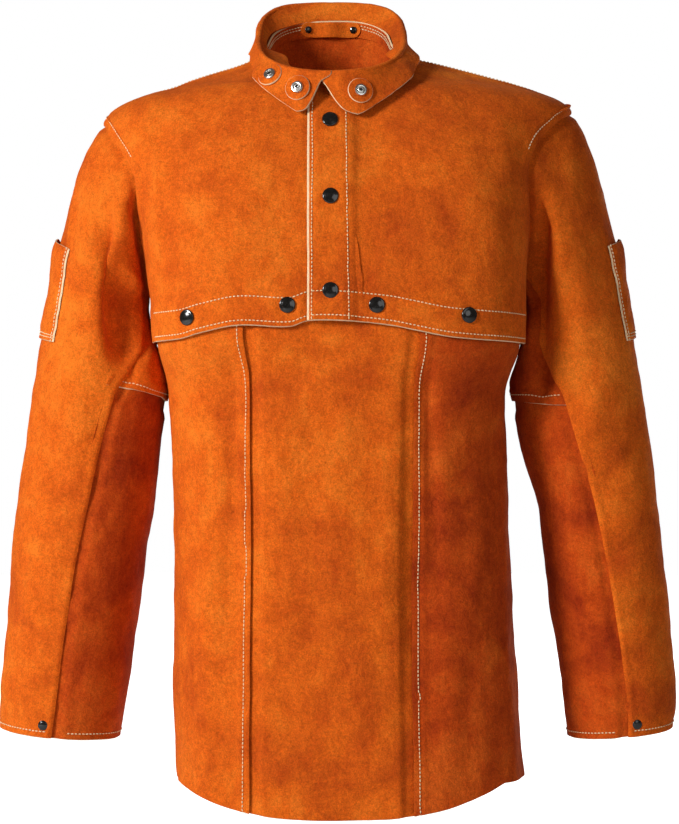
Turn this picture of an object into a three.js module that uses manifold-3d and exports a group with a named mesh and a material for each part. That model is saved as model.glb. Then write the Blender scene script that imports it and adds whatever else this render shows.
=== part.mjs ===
// A split leather welding cape with a bib, in its worn shape: millimetres, +Z up, front towards -Y.
// The origin lies between the shoulders, level with the points where the collar meets them.
// Each leather panel is a thin closed shell on a named surface, and each snap is a turned solid.
import * as THREE from "three";
import Module from "manifold-3d";
import { mergeVertices } from "three/addons/utils/BufferGeometryUtils.js";

const wasm = await Module();
wasm.setup();

// Leather and clearances
const LEATHER = 1.5;
const GAP = 0.3;
const SEAM_GAP = 0.5;
const HARDWARE_GAP = 0.5;
const BIB_SLACK = 1.2;

// Torso of the cape
const YOKE_DROP = 282;
const CHEST_HALF_WIDTH = 190;
const CHEST_FRONT = 136;
const CHEST_BACK = 126;
const HEM_RISE = 18;
const SIDE_TUCK = 10;

// Neck seam, a tilted ring
const NECK_LEVEL = 16;
const NECK_TILT_FRONT = 0.585;
const NECK_TILT_BACK = 0.53;

// Armholes
const ARMHOLE_TOP = 52;
const ARMHOLE_HEIGHT = 183;
const ARMHOLE_HALF_DEPTH = 72;

// Sleeves
const SLEEVE_HEAD_DROP = 335;
const SLEEVE_LENGTH = 333;
const ARM_SPREAD = 280;
const SLEEVE_HALF_WIDTH = 66;
const SLEEVE_HALF_DEPTH = 62;
const CUFF_SLANT = 5;
const POCKET_TOP_DROP = 178;
const POCKET_LENGTH = 97;
const POCKET_FRONT_TURN = 0.76;
const POCKET_BACK_TURN = 0.95;

// Front opening
const FRONT_EDGE_LEFT = -27;
const FRONT_EDGE_RIGHT = 9;
const UNDERLAP_EDGE = 14;
const OVERLAP_FADE = 13;
const FACING_HEIGHT = 30;

// Bib
const BIB_TUCK = 39;
const BIB_TOP_DROP = YOKE_DROP - BIB_TUCK;
const BIB_LENGTH = 492;
const BIB_HALF_WIDTH = 165;
const BIB_FRONT = 130;
const BIB_HEM_RISE = 30;
const BIB_SETTLES = 52;
const BIB_SEAM_LEFT = -86;
const BIB_SEAM_RIGHT = 74;
const BIB_WRAP = 1.72;

// Collar
const COLLAR_CENTRE = -7;
const RIM_HALF_WIDTH = 72.5;
const RIM_FRONT = 102;
const RIM_BACK = 82;
const RIM_LEVEL = 27;
const RIM_TILT_FRONT = 0.5;
const RIM_TILT_BACK = 0.585;
const LEAF_DROP = 71;
const LEAF_STANDOFF = 7.5;
const FOLD_RADIUS = 3.6;
const COLLAR_SQUARENESS = 2.4;
const COLLAR_BACK_SQUARENESS = 3.2;

// Snaps, studs and rivets
const SNAP_RADIUS = 7.7;
const SNAP_HEIGHT = 3.2;
const SNAP_POST_RADIUS = 2;
const SNAP_PLATE_RADIUS = 5;
const PLATE_THICKNESS = 1;
const CUFF_SNAP_RADIUS = 5;
const WASHER_RADIUS = 12.3;
const WASHER_SIDES = 12;
const STUD_RADIUS = 6;
const STUD_HEIGHT = 2.4;
const RIVET_RADIUS = 3.6;
const RIVET_HEIGHT = 1.6;
const SNAP_SIDES = 8;
const HANGER_SPAN = 47;
const HANGER_CENTRE = -7.5;
const HANGER_LEVEL = 44;
const HANGER_WIDTH = 15;
const HANGER_GAP = 3.2;
const HANGER_BOW = 6.5;

// Sections of the torso. Column at is the drop below the shoulders as a share of the yoke's drop.
// Left and right are shares of the chest's half width, front and back of its depths.
const TORSO_SECTIONS = [
  { at: -0.22, left: 0.37, right: 0.29, front: 0.41, back: 0.59, squareFront: 2, squareBack: 2.6 },
  { at: -0.142, left: 0.382, right: 0.297, front: 0.44, back: 0.61, squareFront: 2, squareBack: 2.6 },
  { at: -0.057, left: 0.389, right: 0.305, front: 0.49, back: 0.65, squareFront: 1.9, squareBack: 2.4 },
  { at: -0.021, left: 0.42, right: 0.34, front: 0.52, back: 0.675, squareFront: 1.25, squareBack: 2 },
  { at: 0.011, left: 0.5, right: 0.515, front: 0.55, back: 0.706, squareFront: 1.15, squareBack: 1.7 },
  { at: 0.064, left: 0.737, right: 0.81, front: 0.565, back: 0.754, squareFront: 1.25, squareBack: 1.6 },
  { at: 0.092, left: 0.87, right: 0.955, front: 0.58, back: 0.778, squareFront: 1.45, squareBack: 1.7 },
  { at: 0.117, left: 0.98, right: 1.06, front: 0.603, back: 0.794, squareFront: 1.85, squareBack: 1.9 },
  { at: 0.149, left: 1.102, right: 1.172, front: 0.647, back: 0.825, squareFront: 2.1, squareBack: 2.1 },
  { at: 0.184, left: 1.185, right: 1.222, front: 0.691, back: 0.857, squareFront: 2.2, squareBack: 2.2 },
  { at: 0.234, left: 1.23, right: 1.19, front: 0.743, back: 0.889, squareFront: 2.35, squareBack: 2.3 },
  { at: 0.291, left: 1.215, right: 1.125, front: 0.794, back: 0.92, squareFront: 2.6, squareBack: 2.5 },
  { at: 0.358, left: 1.168, right: 1.078, front: 0.846, back: 0.944, squareFront: 2.9, squareBack: 2.8 },
  { at: 0.433, left: 1.108, right: 1.032, front: 0.89, back: 0.968, squareFront: 3.2, squareBack: 3 },
  { at: 0.514, left: 1.063, right: 1.004, front: 0.926, back: 0.984, squareFront: 3.4, squareBack: 3.1 },
  { at: 0.638, left: 1.026, right: 0.992, front: 0.963, back: 1, squareFront: 3.5, squareBack: 3.2 },
  { at: 0.833, left: 0.998, right: 0.988, front: 0.993, back: 1, squareFront: 3.5, squareBack: 3.2 },
  { at: 1, left: 0.983, right: 0.982, front: 1.007, back: 0.992, squareFront: 3.4, squareBack: 3.2 },
  { at: 1.15, left: 0.97, right: 0.975, front: 1.01, back: 0.985, squareFront: 3.4, squareBack: 3.2 },
];

// Soft hollows and swells of the torso's panels. Depth is a share of the side tuck, and at as above.
const TORSO_DENTS = [
  { turn: 1.57, at: 0.95, turnSpread: 0.42, atSpread: 0.3, depth: 0.35 },
  { turn: -1.57, at: 0.95, turnSpread: 0.42, atSpread: 0.3, depth: 0.6 },
  { turn: -0.98, at: 0.47, turnSpread: 0.09, atSpread: 0.2, depth: 0.3 },
  { turn: 0.92, at: 0.62, turnSpread: 0.12, atSpread: 0.3, depth: -0.2 },
];

// Rise of the front hem above the side corners, by the distance across as a share of the chest's half width.
const HEM_SHAPE = [
  { at: -0.95, rise: 0 },
  { at: -0.79, rise: 0.11 },
  { at: -0.69, rise: 0.39 },
  { at: -0.5, rise: 0.78 },
  { at: -0.24, rise: 0.7 },
  { at: -0.15, rise: 1 },
  { at: 0.04, rise: 1 },
  { at: 0.26, rise: 0.78 },
  { at: 0.37, rise: 0.56 },
  { at: 0.57, rise: 0.17 },
  { at: 0.92, rise: -0.05 },
];

// The armhole from the shoulder tip round the front to the underarm and up the back, at in quarter turns.
const ARMHOLE = [
  { at: 0, drop: 0, forward: 0 },
  { at: 0.5, drop: 0.1, forward: 0.61 },
  { at: 1, drop: 0.4, forward: 1 },
  { at: 1.5, drop: 0.8, forward: 0.32 },
  { at: 2, drop: 1, forward: 0 },
  { at: 2.5, drop: 0.8, forward: -0.83 },
  { at: 3, drop: 0.4, forward: -0.97 },
  { at: 3.5, drop: 0.1, forward: -0.61 },
  { at: 4, drop: 0, forward: 0 },
];

// How the sleeve leaves the armhole and meets its own tube, as shares of the armhole's height.
const SLEEVE_HEAD = [
  { at: 0, out: 0.56, fall: 0.63, settle: 1.55, lean: 0.24 },
  { at: 1, out: 0.5, fall: 0.63, settle: 1.15, lean: 0.16 },
  { at: 1.5, out: 0.34, fall: 0.33, settle: 0.71, lean: 0.05 },
  { at: 2, out: 0.3, fall: 0.22, settle: 0.55, lean: 0.05 },
  { at: 2.5, out: 0.34, fall: 0.33, settle: 0.71, lean: 0.05 },
  { at: 3, out: 0.48, fall: 0.63, settle: 1.15, lean: 0.16 },
  { at: 4, out: 0.56, fall: 0.63, settle: 1.55, lean: 0.24 },
];

// Sections of the sleeves below their heads: centres as shares of the arm spread, halves of the half width.
const SLEEVE_SECTIONS = [
  { at: 0, centreLeft: 0.85, centreRight: 0.854, halfLeft: 1.015, halfRight: 0.985 },
  { at: 0.16, centreLeft: 0.877, centreRight: 0.887, halfLeft: 1.023, halfRight: 0.977 },
  { at: 0.31, centreLeft: 0.898, centreRight: 0.921, halfLeft: 1.038, halfRight: 0.917 },
  { at: 0.46, centreLeft: 0.923, centreRight: 0.946, halfLeft: 1.023, halfRight: 0.894 },
  { at: 0.61, centreLeft: 0.941, centreRight: 0.968, halfLeft: 0.992, halfRight: 0.909 },
  { at: 0.76, centreLeft: 0.961, centreRight: 0.989, halfLeft: 0.97, halfRight: 0.864 },
  { at: 0.91, centreLeft: 0.979, centreRight: 1.007, halfLeft: 0.939, halfRight: 0.848 },
  { at: 1, centreLeft: 0.991, centreRight: 1.007, halfLeft: 0.902, halfRight: 0.795 },
];

// Turn of the long front seam of the sleeve, in quarter turns from the outer side; at counts head then tube.
const SLEEVE_SEAM = [
  { at: 0, front: 1.7 },
  { at: 0.35, front: 1.68 },
  { at: 0.6, front: 1.6 },
  { at: 0.85, front: 1.36 },
  { at: 1, front: 1.2 },
  { at: 1.5, front: 1.04 },
  { at: 2, front: 0.98 },
];

// Hollows of the sleeves: turn in quarter turns, depth as a share of the sleeve's half depth.
const SLEEVE_DENTS = [
  { turn: 1.3, at: 0.62, turnSpread: 0.22, atSpread: 0.3, depth: 0.16 },
  { turn: 1.0, at: 1.3, turnSpread: 0.3, atSpread: 0.12, depth: 0.05 },
  { turn: 0.55, at: 1.12, turnSpread: 0.35, atSpread: 0.08, depth: 0.04 },
  { turn: 0.6, at: 1.62, turnSpread: 0.4, atSpread: 0.08, depth: 0.04 },
];

// Sections of the hanging bib: shares of its half width and of its depth in front.
const BIB_SECTIONS = [
  { at: 0, left: 1.06, right: 1.05, front: 1.03, square: 3.2 },
  { at: 0.12, left: 1.05, right: 1.03, front: 1.0, square: 3 },
  { at: 0.2, left: 1.04, right: 1.035, front: 0.985, square: 2.9 },
  { at: 0.32, left: 1.025, right: 1.04, front: 0.98, square: 2.8 },
  { at: 0.5, left: 1.015, right: 1.06, front: 0.985, square: 2.8 },
  { at: 0.7, left: 1.012, right: 1.095, front: 1.0, square: 2.9 },
  { at: 0.85, left: 1.01, right: 1.125, front: 1.01, square: 3 },
  { at: 1, left: 1.0, right: 1.16, front: 1.02, square: 3 },
];

// Long soft folds of the bib: depth as a share of its depth in front.
const BIB_DENTS = [
  { turn: -0.7, at: 0.55, turnSpread: 0.11, atSpread: 0.5, depth: 0.035 },
  { turn: 0.56, at: 0.62, turnSpread: 0.1, atSpread: 0.4, depth: 0.04 },
  { turn: 0.02, at: 0.5, turnSpread: 0.22, atSpread: 0.45, depth: -0.02 },
  { turn: 1.12, at: 0.85, turnSpread: 0.1, atSpread: 0.3, depth: -0.03 },
];

// Places of the front's snaps: across as a share of the chest's half width, down as a share of the yoke's drop.
const PLACKET_SNAPS = [
  { name: "placket_snap_top", across: -0.0395, down: 0.259 },
  { name: "placket_snap_middle", across: -0.037, down: 0.521 },
  { name: "placket_snap_bottom", across: -0.037, down: 0.837 },
];

// Places of the bib's snaps: across as above, up from the yoke's side corners as a share of the facing's height.
const BIB_SNAPS = [
  { name: "bib_snap_1", across: -0.753, up: 0.717 },
  { name: "bib_snap_2", across: -0.25, up: 1.083 },
  { name: "bib_snap_3", across: 0.192, up: 1.083 },
  { name: "bib_snap_4", across: 0.65, up: 0.783 },
];

// Height of the leaf's edge by the turn round the neck, as a share of its drop in front, and how early
// on its way down the leaf swings out.
const LEAF_EDGE = [
  { at: 0, height: -1, flare: 0.6 },
  { at: 0.25, height: -0.98, flare: 0.6 },
  { at: 0.45, height: -0.81, flare: 0.65 },
  { at: 0.66, height: -0.6, flare: 0.65 },
  { at: 0.85, height: -0.42, flare: 0.6 },
  { at: 1.1, height: -0.22, flare: 0.5 },
  { at: 1.57, height: 0.02, flare: 0.4 },
  { at: 2.2, height: 0.14, flare: 0.4 },
  { at: 3.15, height: 0.26, flare: 0.4 },
];

// Places of the studs on the collar's leaf: turn round the neck, and share of the way down the leaf.
const COLLAR_STUDS = [
  { number: 1, turn: -0.6, down: 0.4 },
  { number: 2, turn: -0.3, down: 0.41 },
  { number: 3, turn: 0.27, down: 0.46 },
];

// Reading of tables and blends

function mix(from, to, share) {
  return from + (to - from) * share;
}

function ease(share) {
  const t = Math.min(Math.max(share, 0), 1);
  return t * t * (3 - 2 * t);
}

// The value of one column at a place between the rows, on a smooth curve through them.
function reading(rows, column, at) {
  const last = rows.length - 1;
  let row = 0;
  while (row < last - 1 && at > rows[row + 1].at) row += 1;
  const slopeAt = (k) => {
    const before = rows[Math.max(k - 1, 0)];
    const after = rows[Math.min(k + 1, last)];
    return (after[column] - before[column]) / (after.at - before.at);
  };
  const span = rows[row + 1].at - rows[row].at;
  const t = Math.min(Math.max((at - rows[row].at) / span, 0), 1);
  const beyond = at - (rows[row].at + t * span);
  const t2 = t * t;
  const t3 = t2 * t;
  const here = (2 * t3 - 3 * t2 + 1) * rows[row][column] + (3 * t2 - 2 * t3) * rows[row + 1][column];
  const slopes = (t3 - 2 * t2 + t) * slopeAt(row) + (t3 - t2) * slopeAt(row + 1);
  return here + span * slopes + beyond * slopeAt(t < 0.5 ? row : row + 1);
}

function dentDepth(dents, turn, at) {
  let depth = 0;
  for (const dent of dents) {
    const across = (turn - dent.turn) / dent.turnSpread;
    const along = (at - dent.at) / dent.atSpread;
    depth += dent.depth * Math.exp(-across * across - along * along);
  }
  return depth;
}

// Radius of a rounded rectangle's outline at an angle from the front, positive towards +X.
function outlineRadius(angle, halfWidth, depth, squareness) {
  const across = Math.abs(Math.sin(angle)) / halfWidth;
  const along = Math.abs(Math.cos(angle)) / depth;
  return (across ** squareness + along ** squareness) ** (-1 / squareness);
}

// Surfaces. Each has point(a, b), the steps for its slopes, and the sign that turns its normal outwards.

function torsoSize(z, rightSide, front) {
  const at = -z / YOKE_DROP;
  return {
    halfWidth: reading(TORSO_SECTIONS, rightSide ? "right" : "left", at) * CHEST_HALF_WIDTH,
    depth: front
      ? reading(TORSO_SECTIONS, "front", at) * CHEST_FRONT
      : reading(TORSO_SECTIONS, "back", at) * CHEST_BACK,
    squareness: reading(TORSO_SECTIONS, front ? "squareFront" : "squareBack", at),
  };
}

function signedTurn(angle) {
  return Math.atan2(Math.sin(angle), Math.cos(angle));
}

const torso = {
  point(angle, z) {
    const size = torsoSize(z, Math.sin(angle) > 0, Math.cos(angle) > 0);
    const dent = SIDE_TUCK * dentDepth(TORSO_DENTS, signedTurn(angle), -z / YOKE_DROP);
    const radius = outlineRadius(angle, size.halfWidth, size.depth, size.squareness) - dent;
    return new THREE.Vector3(radius * Math.sin(angle), -radius * Math.cos(angle), z);
  },
  stepA: 0.012,
  stepB: 0.8,
  outward: 1,
};

function bibSize(z, rightSide) {
  const at = (-z - BIB_TOP_DROP) / BIB_LENGTH;
  return {
    halfWidth: reading(BIB_SECTIONS, rightSide ? "right" : "left", at) * BIB_HALF_WIDTH,
    depth: reading(BIB_SECTIONS, "front", at) * BIB_FRONT,
    squareness: reading(BIB_SECTIONS, "square", at),
  };
}

const bib = {
  point(angle, z) {
    const size = bibSize(z, angle > 0);
    const at = (-z - BIB_TOP_DROP) / BIB_LENGTH;
    const dent = BIB_FRONT * dentDepth(BIB_DENTS, angle, at);
    const radius = outlineRadius(angle, size.halfWidth, size.depth, size.squareness) - dent;
    const hanging = new THREE.Vector3(radius * Math.sin(angle), -radius * Math.cos(angle), z);
    const underHem = torso.point(angle, z);
    return underHem.lerp(hanging, ease((hemHeight(angle) - z) / BIB_SETTLES));
  },
  stepA: 0.012,
  stepB: 0.8,
  outward: 1,
};

function sleeveSurface(side) {
  const centreColumn = side > 0 ? "centreRight" : "centreLeft";
  const halfColumn = side > 0 ? "halfRight" : "halfLeft";
  const tube = (quarter, down) => {
    const turn = quarter * (Math.PI / 2);
    const half = reading(SLEEVE_SECTIONS, halfColumn, down);
    const centre = reading(SLEEVE_SECTIONS, centreColumn, down) * ARM_SPREAD;
    const cuff = CUFF_SLANT * Math.cos(turn) * ease((down - 0.6) / 0.4);
    return new THREE.Vector3(
      side * (centre + half * SLEEVE_HALF_WIDTH * Math.cos(turn)),
      -half * SLEEVE_HALF_DEPTH * Math.sin(turn),
      -SLEEVE_HEAD_DROP - down * SLEEVE_LENGTH + cuff,
    );
  };
  return {
    point(quarter, v) {
      const turned = ((quarter % 4) + 4) % 4;
      const head = Math.min(v, 1);
      const end = tube(turned, Math.max(v - 1, 0));
      const inward = new THREE.Vector3(-side * Math.cos(turned * 1.5708), Math.sin(turned * 1.5708), 0);
      if (v < 1) {
        const start = armholePoint(side, turned);
        const leave = new THREE.Vector3(
          side * reading(SLEEVE_HEAD, "out", turned),
          0,
          -reading(SLEEVE_HEAD, "fall", turned),
        ).multiplyScalar(ARMHOLE_HEIGHT);
        const arrive = new THREE.Vector3(
          side * reading(SLEEVE_HEAD, "lean", turned),
          0,
          -reading(SLEEVE_HEAD, "settle", turned),
        ).multiplyScalar(ARMHOLE_HEIGHT);
        const t = head;
        const t2 = t * t;
        const t3 = t2 * t;
        end
          .multiplyScalar(3 * t2 - 2 * t3)
          .addScaledVector(start, 2 * t3 - 3 * t2 + 1)
          .addScaledVector(leave, t3 - 2 * t2 + t)
          .addScaledVector(arrive, t3 - t2);
      }
      const dent = SLEEVE_HALF_DEPTH * dentDepth(SLEEVE_DENTS, turned, v);
      return end.addScaledVector(inward, dent * ease(v / 0.25));
    },
    stepA: 0.01,
    stepB: 0.01,
    outward: side,
  };
}

// Places on the torso

function torsoAngleAtY(side, z, y) {
  const size = torsoSize(z, side > 0, y <= 0);
  const share = Math.min(Math.abs(y) / size.depth, 1);
  const x = size.halfWidth * (1 - share ** size.squareness) ** (1 / size.squareness);
  return Math.atan2(side * x, -y);
}

function frontAngleAtX(size, x) {
  const share = Math.min(Math.abs(x) / size.halfWidth, 1);
  const y = size.depth * (1 - share ** size.squareness) ** (1 / size.squareness);
  return Math.atan2(x, y);
}

function torsoAngleAtX(x, z) {
  return frontAngleAtX(torsoSize(z, x > 0, true), x);
}

function bibAngleAtX(x, z) {
  return frontAngleAtX(bibSize(z, x > 0), x);
}

function armholePlace(side, quarter) {
  const z = -(ARMHOLE_TOP + ARMHOLE_HEIGHT * reading(ARMHOLE, "drop", quarter));
  const y = -ARMHOLE_HALF_DEPTH * reading(ARMHOLE, "forward", quarter);
  return { angle: torsoAngleAtY(side, z, y), z };
}

function armholePoint(side, quarter) {
  const place = armholePlace(side, quarter);
  return torso.point(place.angle, place.z);
}

// The height where the neck seam crosses the centre of the front or back, by halving.
function neckCentreHeight(front) {
  const tilt = front ? NECK_TILT_FRONT : NECK_TILT_BACK;
  let near = 0;
  let far = front ? CHEST_FRONT : CHEST_BACK;
  for (let step = 0; step < 40; step += 1) {
    const y = (near + far) / 2;
    const z = NECK_LEVEL + (front ? -y : y) * tilt;
    if (torsoSize(z, true, front).depth > y) near = y;
    else far = y;
  }
  return NECK_LEVEL + (front ? -near : near) * tilt;
}

const NECK_FRONT_HEIGHT = neckCentreHeight(true);
const NECK_BACK_HEIGHT = neckCentreHeight(false);

// The angle where the neck seam crosses a height, on one side.
function neckAngle(side, z) {
  const tilt = z < NECK_LEVEL ? NECK_TILT_FRONT : NECK_TILT_BACK;
  return torsoAngleAtY(side, z, (z - NECK_LEVEL) / tilt);
}

// The height of the neck seam in one direction, by repeated correction.
function neckHeightAt(turn) {
  const tilt = Math.cos(turn) > 0 ? NECK_TILT_FRONT : NECK_TILT_BACK;
  let z = NECK_LEVEL;
  for (let step = 0; step < 30; step += 1) {
    z = mix(z, NECK_LEVEL + tilt * torso.point(angleFromNeck(turn, z), z).y, 0.5);
  }
  return z;
}

// The torso's own angle for a direction seen from the neck's centre.
function angleFromNeck(turn, z) {
  let angle = turn;
  for (let step = 0; step < 12; step += 1) {
    const point = torso.point(angle, z);
    angle += signedTurn(turn - Math.atan2(point.x - COLLAR_CENTRE, -point.y));
  }
  return angle;
}

function hemHeight(angle) {
  if (Math.cos(angle) <= 0) return -YOKE_DROP;
  const x = torso.point(angle, -YOKE_DROP).x;
  const side = Math.min(Math.max(x / CHEST_HALF_WIDTH, HEM_SHAPE[0].at), HEM_SHAPE.at(-1).at);
  return -YOKE_DROP + HEM_RISE * reading(HEM_SHAPE, "rise", side);
}

// Shells

function normalOn(surface, a, b) {
  const alongA = surface.point(a + surface.stepA, b).sub(surface.point(a - surface.stepA, b));
  const alongB = surface.point(a, b + surface.stepB).sub(surface.point(a, b - surface.stepB));
  return alongA.cross(alongB).normalize().multiplyScalar(surface.outward);
}

// A closed wall over a grid of places on a surface, from the offset inner to the offset outer.
function shell(surface, grid, outer, inner) {
  const rows = grid.length;
  const columns = grid[0].length;
  const points = [];
  for (const offset of [outer, inner]) {
    for (const row of grid) {
      for (const [a, b] of row) {
        const point = surface.point(a, b);
        const distance = typeof offset === "function" ? offset(point) : offset;
        points.push(point.addScaledVector(normalOn(surface, a, b), distance));
      }
    }
  }
  const faces = [];
  const quad = (p, q, r, s) => faces.push(p, q, r, p, r, s);
  const at = (layer, i, j) => (layer * rows + i) * columns + j;
  for (let i = 0; i + 1 < rows; i += 1) {
    for (let j = 0; j + 1 < columns; j += 1) {
      quad(at(0, i, j), at(0, i + 1, j), at(0, i + 1, j + 1), at(0, i, j + 1));
      quad(at(1, i, j), at(1, i, j + 1), at(1, i + 1, j + 1), at(1, i + 1, j));
    }
  }
  for (let i = 0; i + 1 < rows; i += 1) {
    quad(at(0, i, 0), at(1, i, 0), at(1, i + 1, 0), at(0, i + 1, 0));
    quad(at(0, i + 1, columns - 1), at(1, i + 1, columns - 1), at(1, i, columns - 1), at(0, i, columns - 1));
  }
  for (let j = 0; j + 1 < columns; j += 1) {
    quad(at(0, 0, j + 1), at(1, 0, j + 1), at(1, 0, j), at(0, 0, j));
    quad(at(0, rows - 1, j), at(1, rows - 1, j), at(1, rows - 1, j + 1), at(0, rows - 1, j + 1));
  }
  return facingOut(points, faces);
}

function facingOut(points, faces) {
  let volume = 0;
  for (let k = 0; k < faces.length; k += 3) {
    const [p, q, r] = [points[faces[k]], points[faces[k + 1]], points[faces[k + 2]]];
    volume += p.dot(q.clone().cross(r));
  }
  if (volume < 0) faces.reverse();
  const geometry = new THREE.BufferGeometry().setFromPoints(points);
  geometry.setIndex(faces);
  return geometry;
}

// Rows of places between two edges of a panel. Each row gives from, to and its height.
function rowsBetween(rows, shares) {
  return rows.map((row) =>
    shares.map((share) => {
      const a = mix(row.from, row.to, share);
      return [a, row.z];
    }),
  );
}

function evenShares(count) {
  return Array.from({ length: count + 1 }, (_, k) => k / count);
}

// Boolean cuts

function solidOf(geometry) {
  const bare = geometry.clone();
  bare.deleteAttribute("normal");
  bare.deleteAttribute("uv");
  const merged = mergeVertices(bare, 1e-4);
  const vertProperties = new Float32Array(merged.attributes.position.array);
  const triVerts = new Uint32Array(merged.index.array);
  return new wasm.Manifold(new wasm.Mesh({ numProp: 3, vertProperties, triVerts }));
}

function geometryOf(solid) {
  const mesh = solid.getMesh();
  const geometry = new THREE.BufferGeometry();
  geometry.setAttribute("position", new THREE.BufferAttribute(mesh.vertProperties, 3));
  geometry.setIndex(new THREE.BufferAttribute(mesh.triVerts, 1));
  return geometry;
}

// Cuts round holes for posts through a panel.
function pierce(geometry, posts) {
  let solid = solidOf(geometry);
  for (const post of posts) {
    const drill = new THREE.CylinderGeometry(post.radius + GAP, post.radius + GAP, 16, 8);
    drill.applyMatrix4(post.matrix);
    solid = solid.subtract(solidOf(drill));
  }
  return geometryOf(solid);
}

// Hardware

// A frame on a surface whose Y axis points out of it.
function frameOn(surface, a, b) {
  const normal = normalOn(surface, a, b);
  const turn = new THREE.Quaternion().setFromUnitVectors(new THREE.Vector3(0, 1, 0), normal);
  return new THREE.Matrix4().compose(surface.point(a, b), turn, new THREE.Vector3(1, 1, 1));
}

// A domed cap in front, a post through the layers, and a round plate behind them.
function snapGeometry(radius, height, postRadius, plateRadius, front, back, gap = HARDWARE_GAP) {
  const capBase = front + gap;
  const plateTop = back - gap;
  const profile = [
    [0, plateTop - PLATE_THICKNESS],
    [plateRadius, plateTop - PLATE_THICKNESS],
    [plateRadius, plateTop],
    [postRadius, plateTop],
    [postRadius, capBase],
    [radius, capBase],
    [radius, capBase + height * 0.3],
    [radius * 0.62, capBase + height * 0.9],
    [0, capBase + height],
  ];
  return new THREE.LatheGeometry(
    profile.map(([r, y]) => new THREE.Vector2(r, y)),
    SNAP_SIDES,
  );
}

// Materials

const splitLeather = () => new THREE.MeshStandardMaterial({ color: 0xc55a12, roughness: 0.95, metalness: 0 });
const blackEnamel = () => new THREE.MeshStandardMaterial({ color: 0x14120f, roughness: 0.2, metalness: 0.3 });
const brightSteel = () => new THREE.MeshStandardMaterial({ color: 0xd8d6d0, roughness: 0.25, metalness: 1 });

const cape = new THREE.Group();

function add(name, geometry, material) {
  const mesh = new THREE.Mesh(geometry, material);
  mesh.name = name;
  cape.add(mesh);
}

// Yoke

const LAYER = LEATHER + GAP;
const ARMHOLE_STEPS = 9;
const NECK_SHARES = [0, 0.22, 0.46, 0.74, 1];
const FRONT_SHARES = [0, 0.16, 0.33, 0.46, 0.56, 0.65, 0.75, 0.87, 1];
const BACK_SHARES = [0, 0.08, 0.15, 0.23, 0.32, 0.41, 0.5, 0.59, 0.68, 0.77, 0.85, 0.92, 1];

function seamTurn(z) {
  return SEAM_GAP / 2 / torsoSize(z, true, true).halfWidth;
}

// The front rises over the underlap and its facing near the opening.
function overlapLift(point) {
  return 2 * LAYER * (1 - ease((point.x - FRONT_EDGE_RIGHT) / OVERLAP_FADE));
}

function panelHeight(z) {
  const weight = ease((-z - 0.6 * YOKE_DROP) / (0.4 * YOKE_DROP - FACING_HEIGHT));
  return (angle) => z + weight * (hemHeight(angle) + YOKE_DROP);
}

// Columns of a front panel: named places across the opening, then shares of the way to the side.
function openingColumns(side, z, to) {
  const places = side > 0
    ? [FRONT_EDGE_LEFT, (FRONT_EDGE_LEFT + FRONT_EDGE_RIGHT) / 2, FRONT_EDGE_RIGHT, FRONT_EDGE_RIGHT + OVERLAP_FADE / 2]
    : [UNDERLAP_EDGE, (FRONT_EDGE_LEFT + FRONT_EDGE_RIGHT) / 2, FRONT_EDGE_LEFT];
  const last = torsoAngleAtX(side > 0 ? FRONT_EDGE_RIGHT + OVERLAP_FADE : FRONT_EDGE_LEFT * 1.5, z);
  return [...places.map((x) => torsoAngleAtX(x, z)), ...FRONT_SHARES.map((share) => mix(last, to, share))];
}

// The rows of a front panel: down the neck, past the opening's top, down the armhole and to the hem.
function frontRows(side) {
  const ridge = (z) => side * (Math.PI / 2 - seamTurn(z));
  const rows = [];
  for (const share of NECK_SHARES) {
    const z = mix(NECK_LEVEL - 2, NECK_FRONT_HEIGHT + 0.5, share);
    const count = openingColumns(side, z, ridge(z)).length;
    rows.push(evenShares(count - 1).map((across) => [mix(neckAngle(side, z), ridge(z), across), z]));
  }
  const push = (z, to) => {
    const heightAt = panelHeight(z);
    rows.push(openingColumns(side, z, to).map((angle) => [angle, heightAt(angle)]));
  };
  for (const share of [0.2, 0.6]) {
    const z = mix(NECK_FRONT_HEIGHT, -ARMHOLE_TOP, share);
    push(z, ridge(z));
  }
  for (let step = 0; step <= ARMHOLE_STEPS; step += 1) {
    const place = armholePlace(side, (2 * step) / ARMHOLE_STEPS);
    const trim = step % ARMHOLE_STEPS === 0 ? side * seamTurn(place.z) : 0;
    push(place.z, place.angle - trim);
  }
  for (const z of [-YOKE_DROP + FACING_HEIGHT, -YOKE_DROP]) push(z, ridge(z));
  return rows;
}

function frontPanel(side) {
  if (side < 0) return shell(torso, frontRows(side), 0, -LEATHER);
  return shell(torso, frontRows(side), overlapLift, (point) => overlapLift(point) - LEATHER);
}

function backPanel() {
  const rows = [];
  const push = (z, right, left) => rows.push({ z, from: right, to: 2 * Math.PI + left });
  for (const share of NECK_SHARES) {
    const z = mix(NECK_BACK_HEIGHT - 0.5, NECK_LEVEL + 1, share);
    push(z, neckAngle(1, z), neckAngle(-1, z));
  }
  for (const share of [0.1, 0.4, 0.7]) {
    const z = mix(NECK_LEVEL, -ARMHOLE_TOP, share);
    push(z, Math.PI / 2 + seamTurn(z), -Math.PI / 2 - seamTurn(z));
  }
  for (let step = 0; step <= ARMHOLE_STEPS; step += 1) {
    const right = armholePlace(1, 4 - (2 * step) / ARMHOLE_STEPS);
    const left = armholePlace(-1, 4 - (2 * step) / ARMHOLE_STEPS);
    const trim = step % ARMHOLE_STEPS === 0 ? seamTurn(right.z) : 0;
    push(right.z, right.angle + trim, left.angle - trim);
  }
  for (const share of [0.5, 1]) {
    const z = mix(-ARMHOLE_TOP - ARMHOLE_HEIGHT, -YOKE_DROP, share);
    push(z, Math.PI / 2 + seamTurn(z), -Math.PI / 2 - seamTurn(z));
  }
  return shell(torso, rowsBetween(rows, BACK_SHARES), 0, -LEATHER);
}

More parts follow.
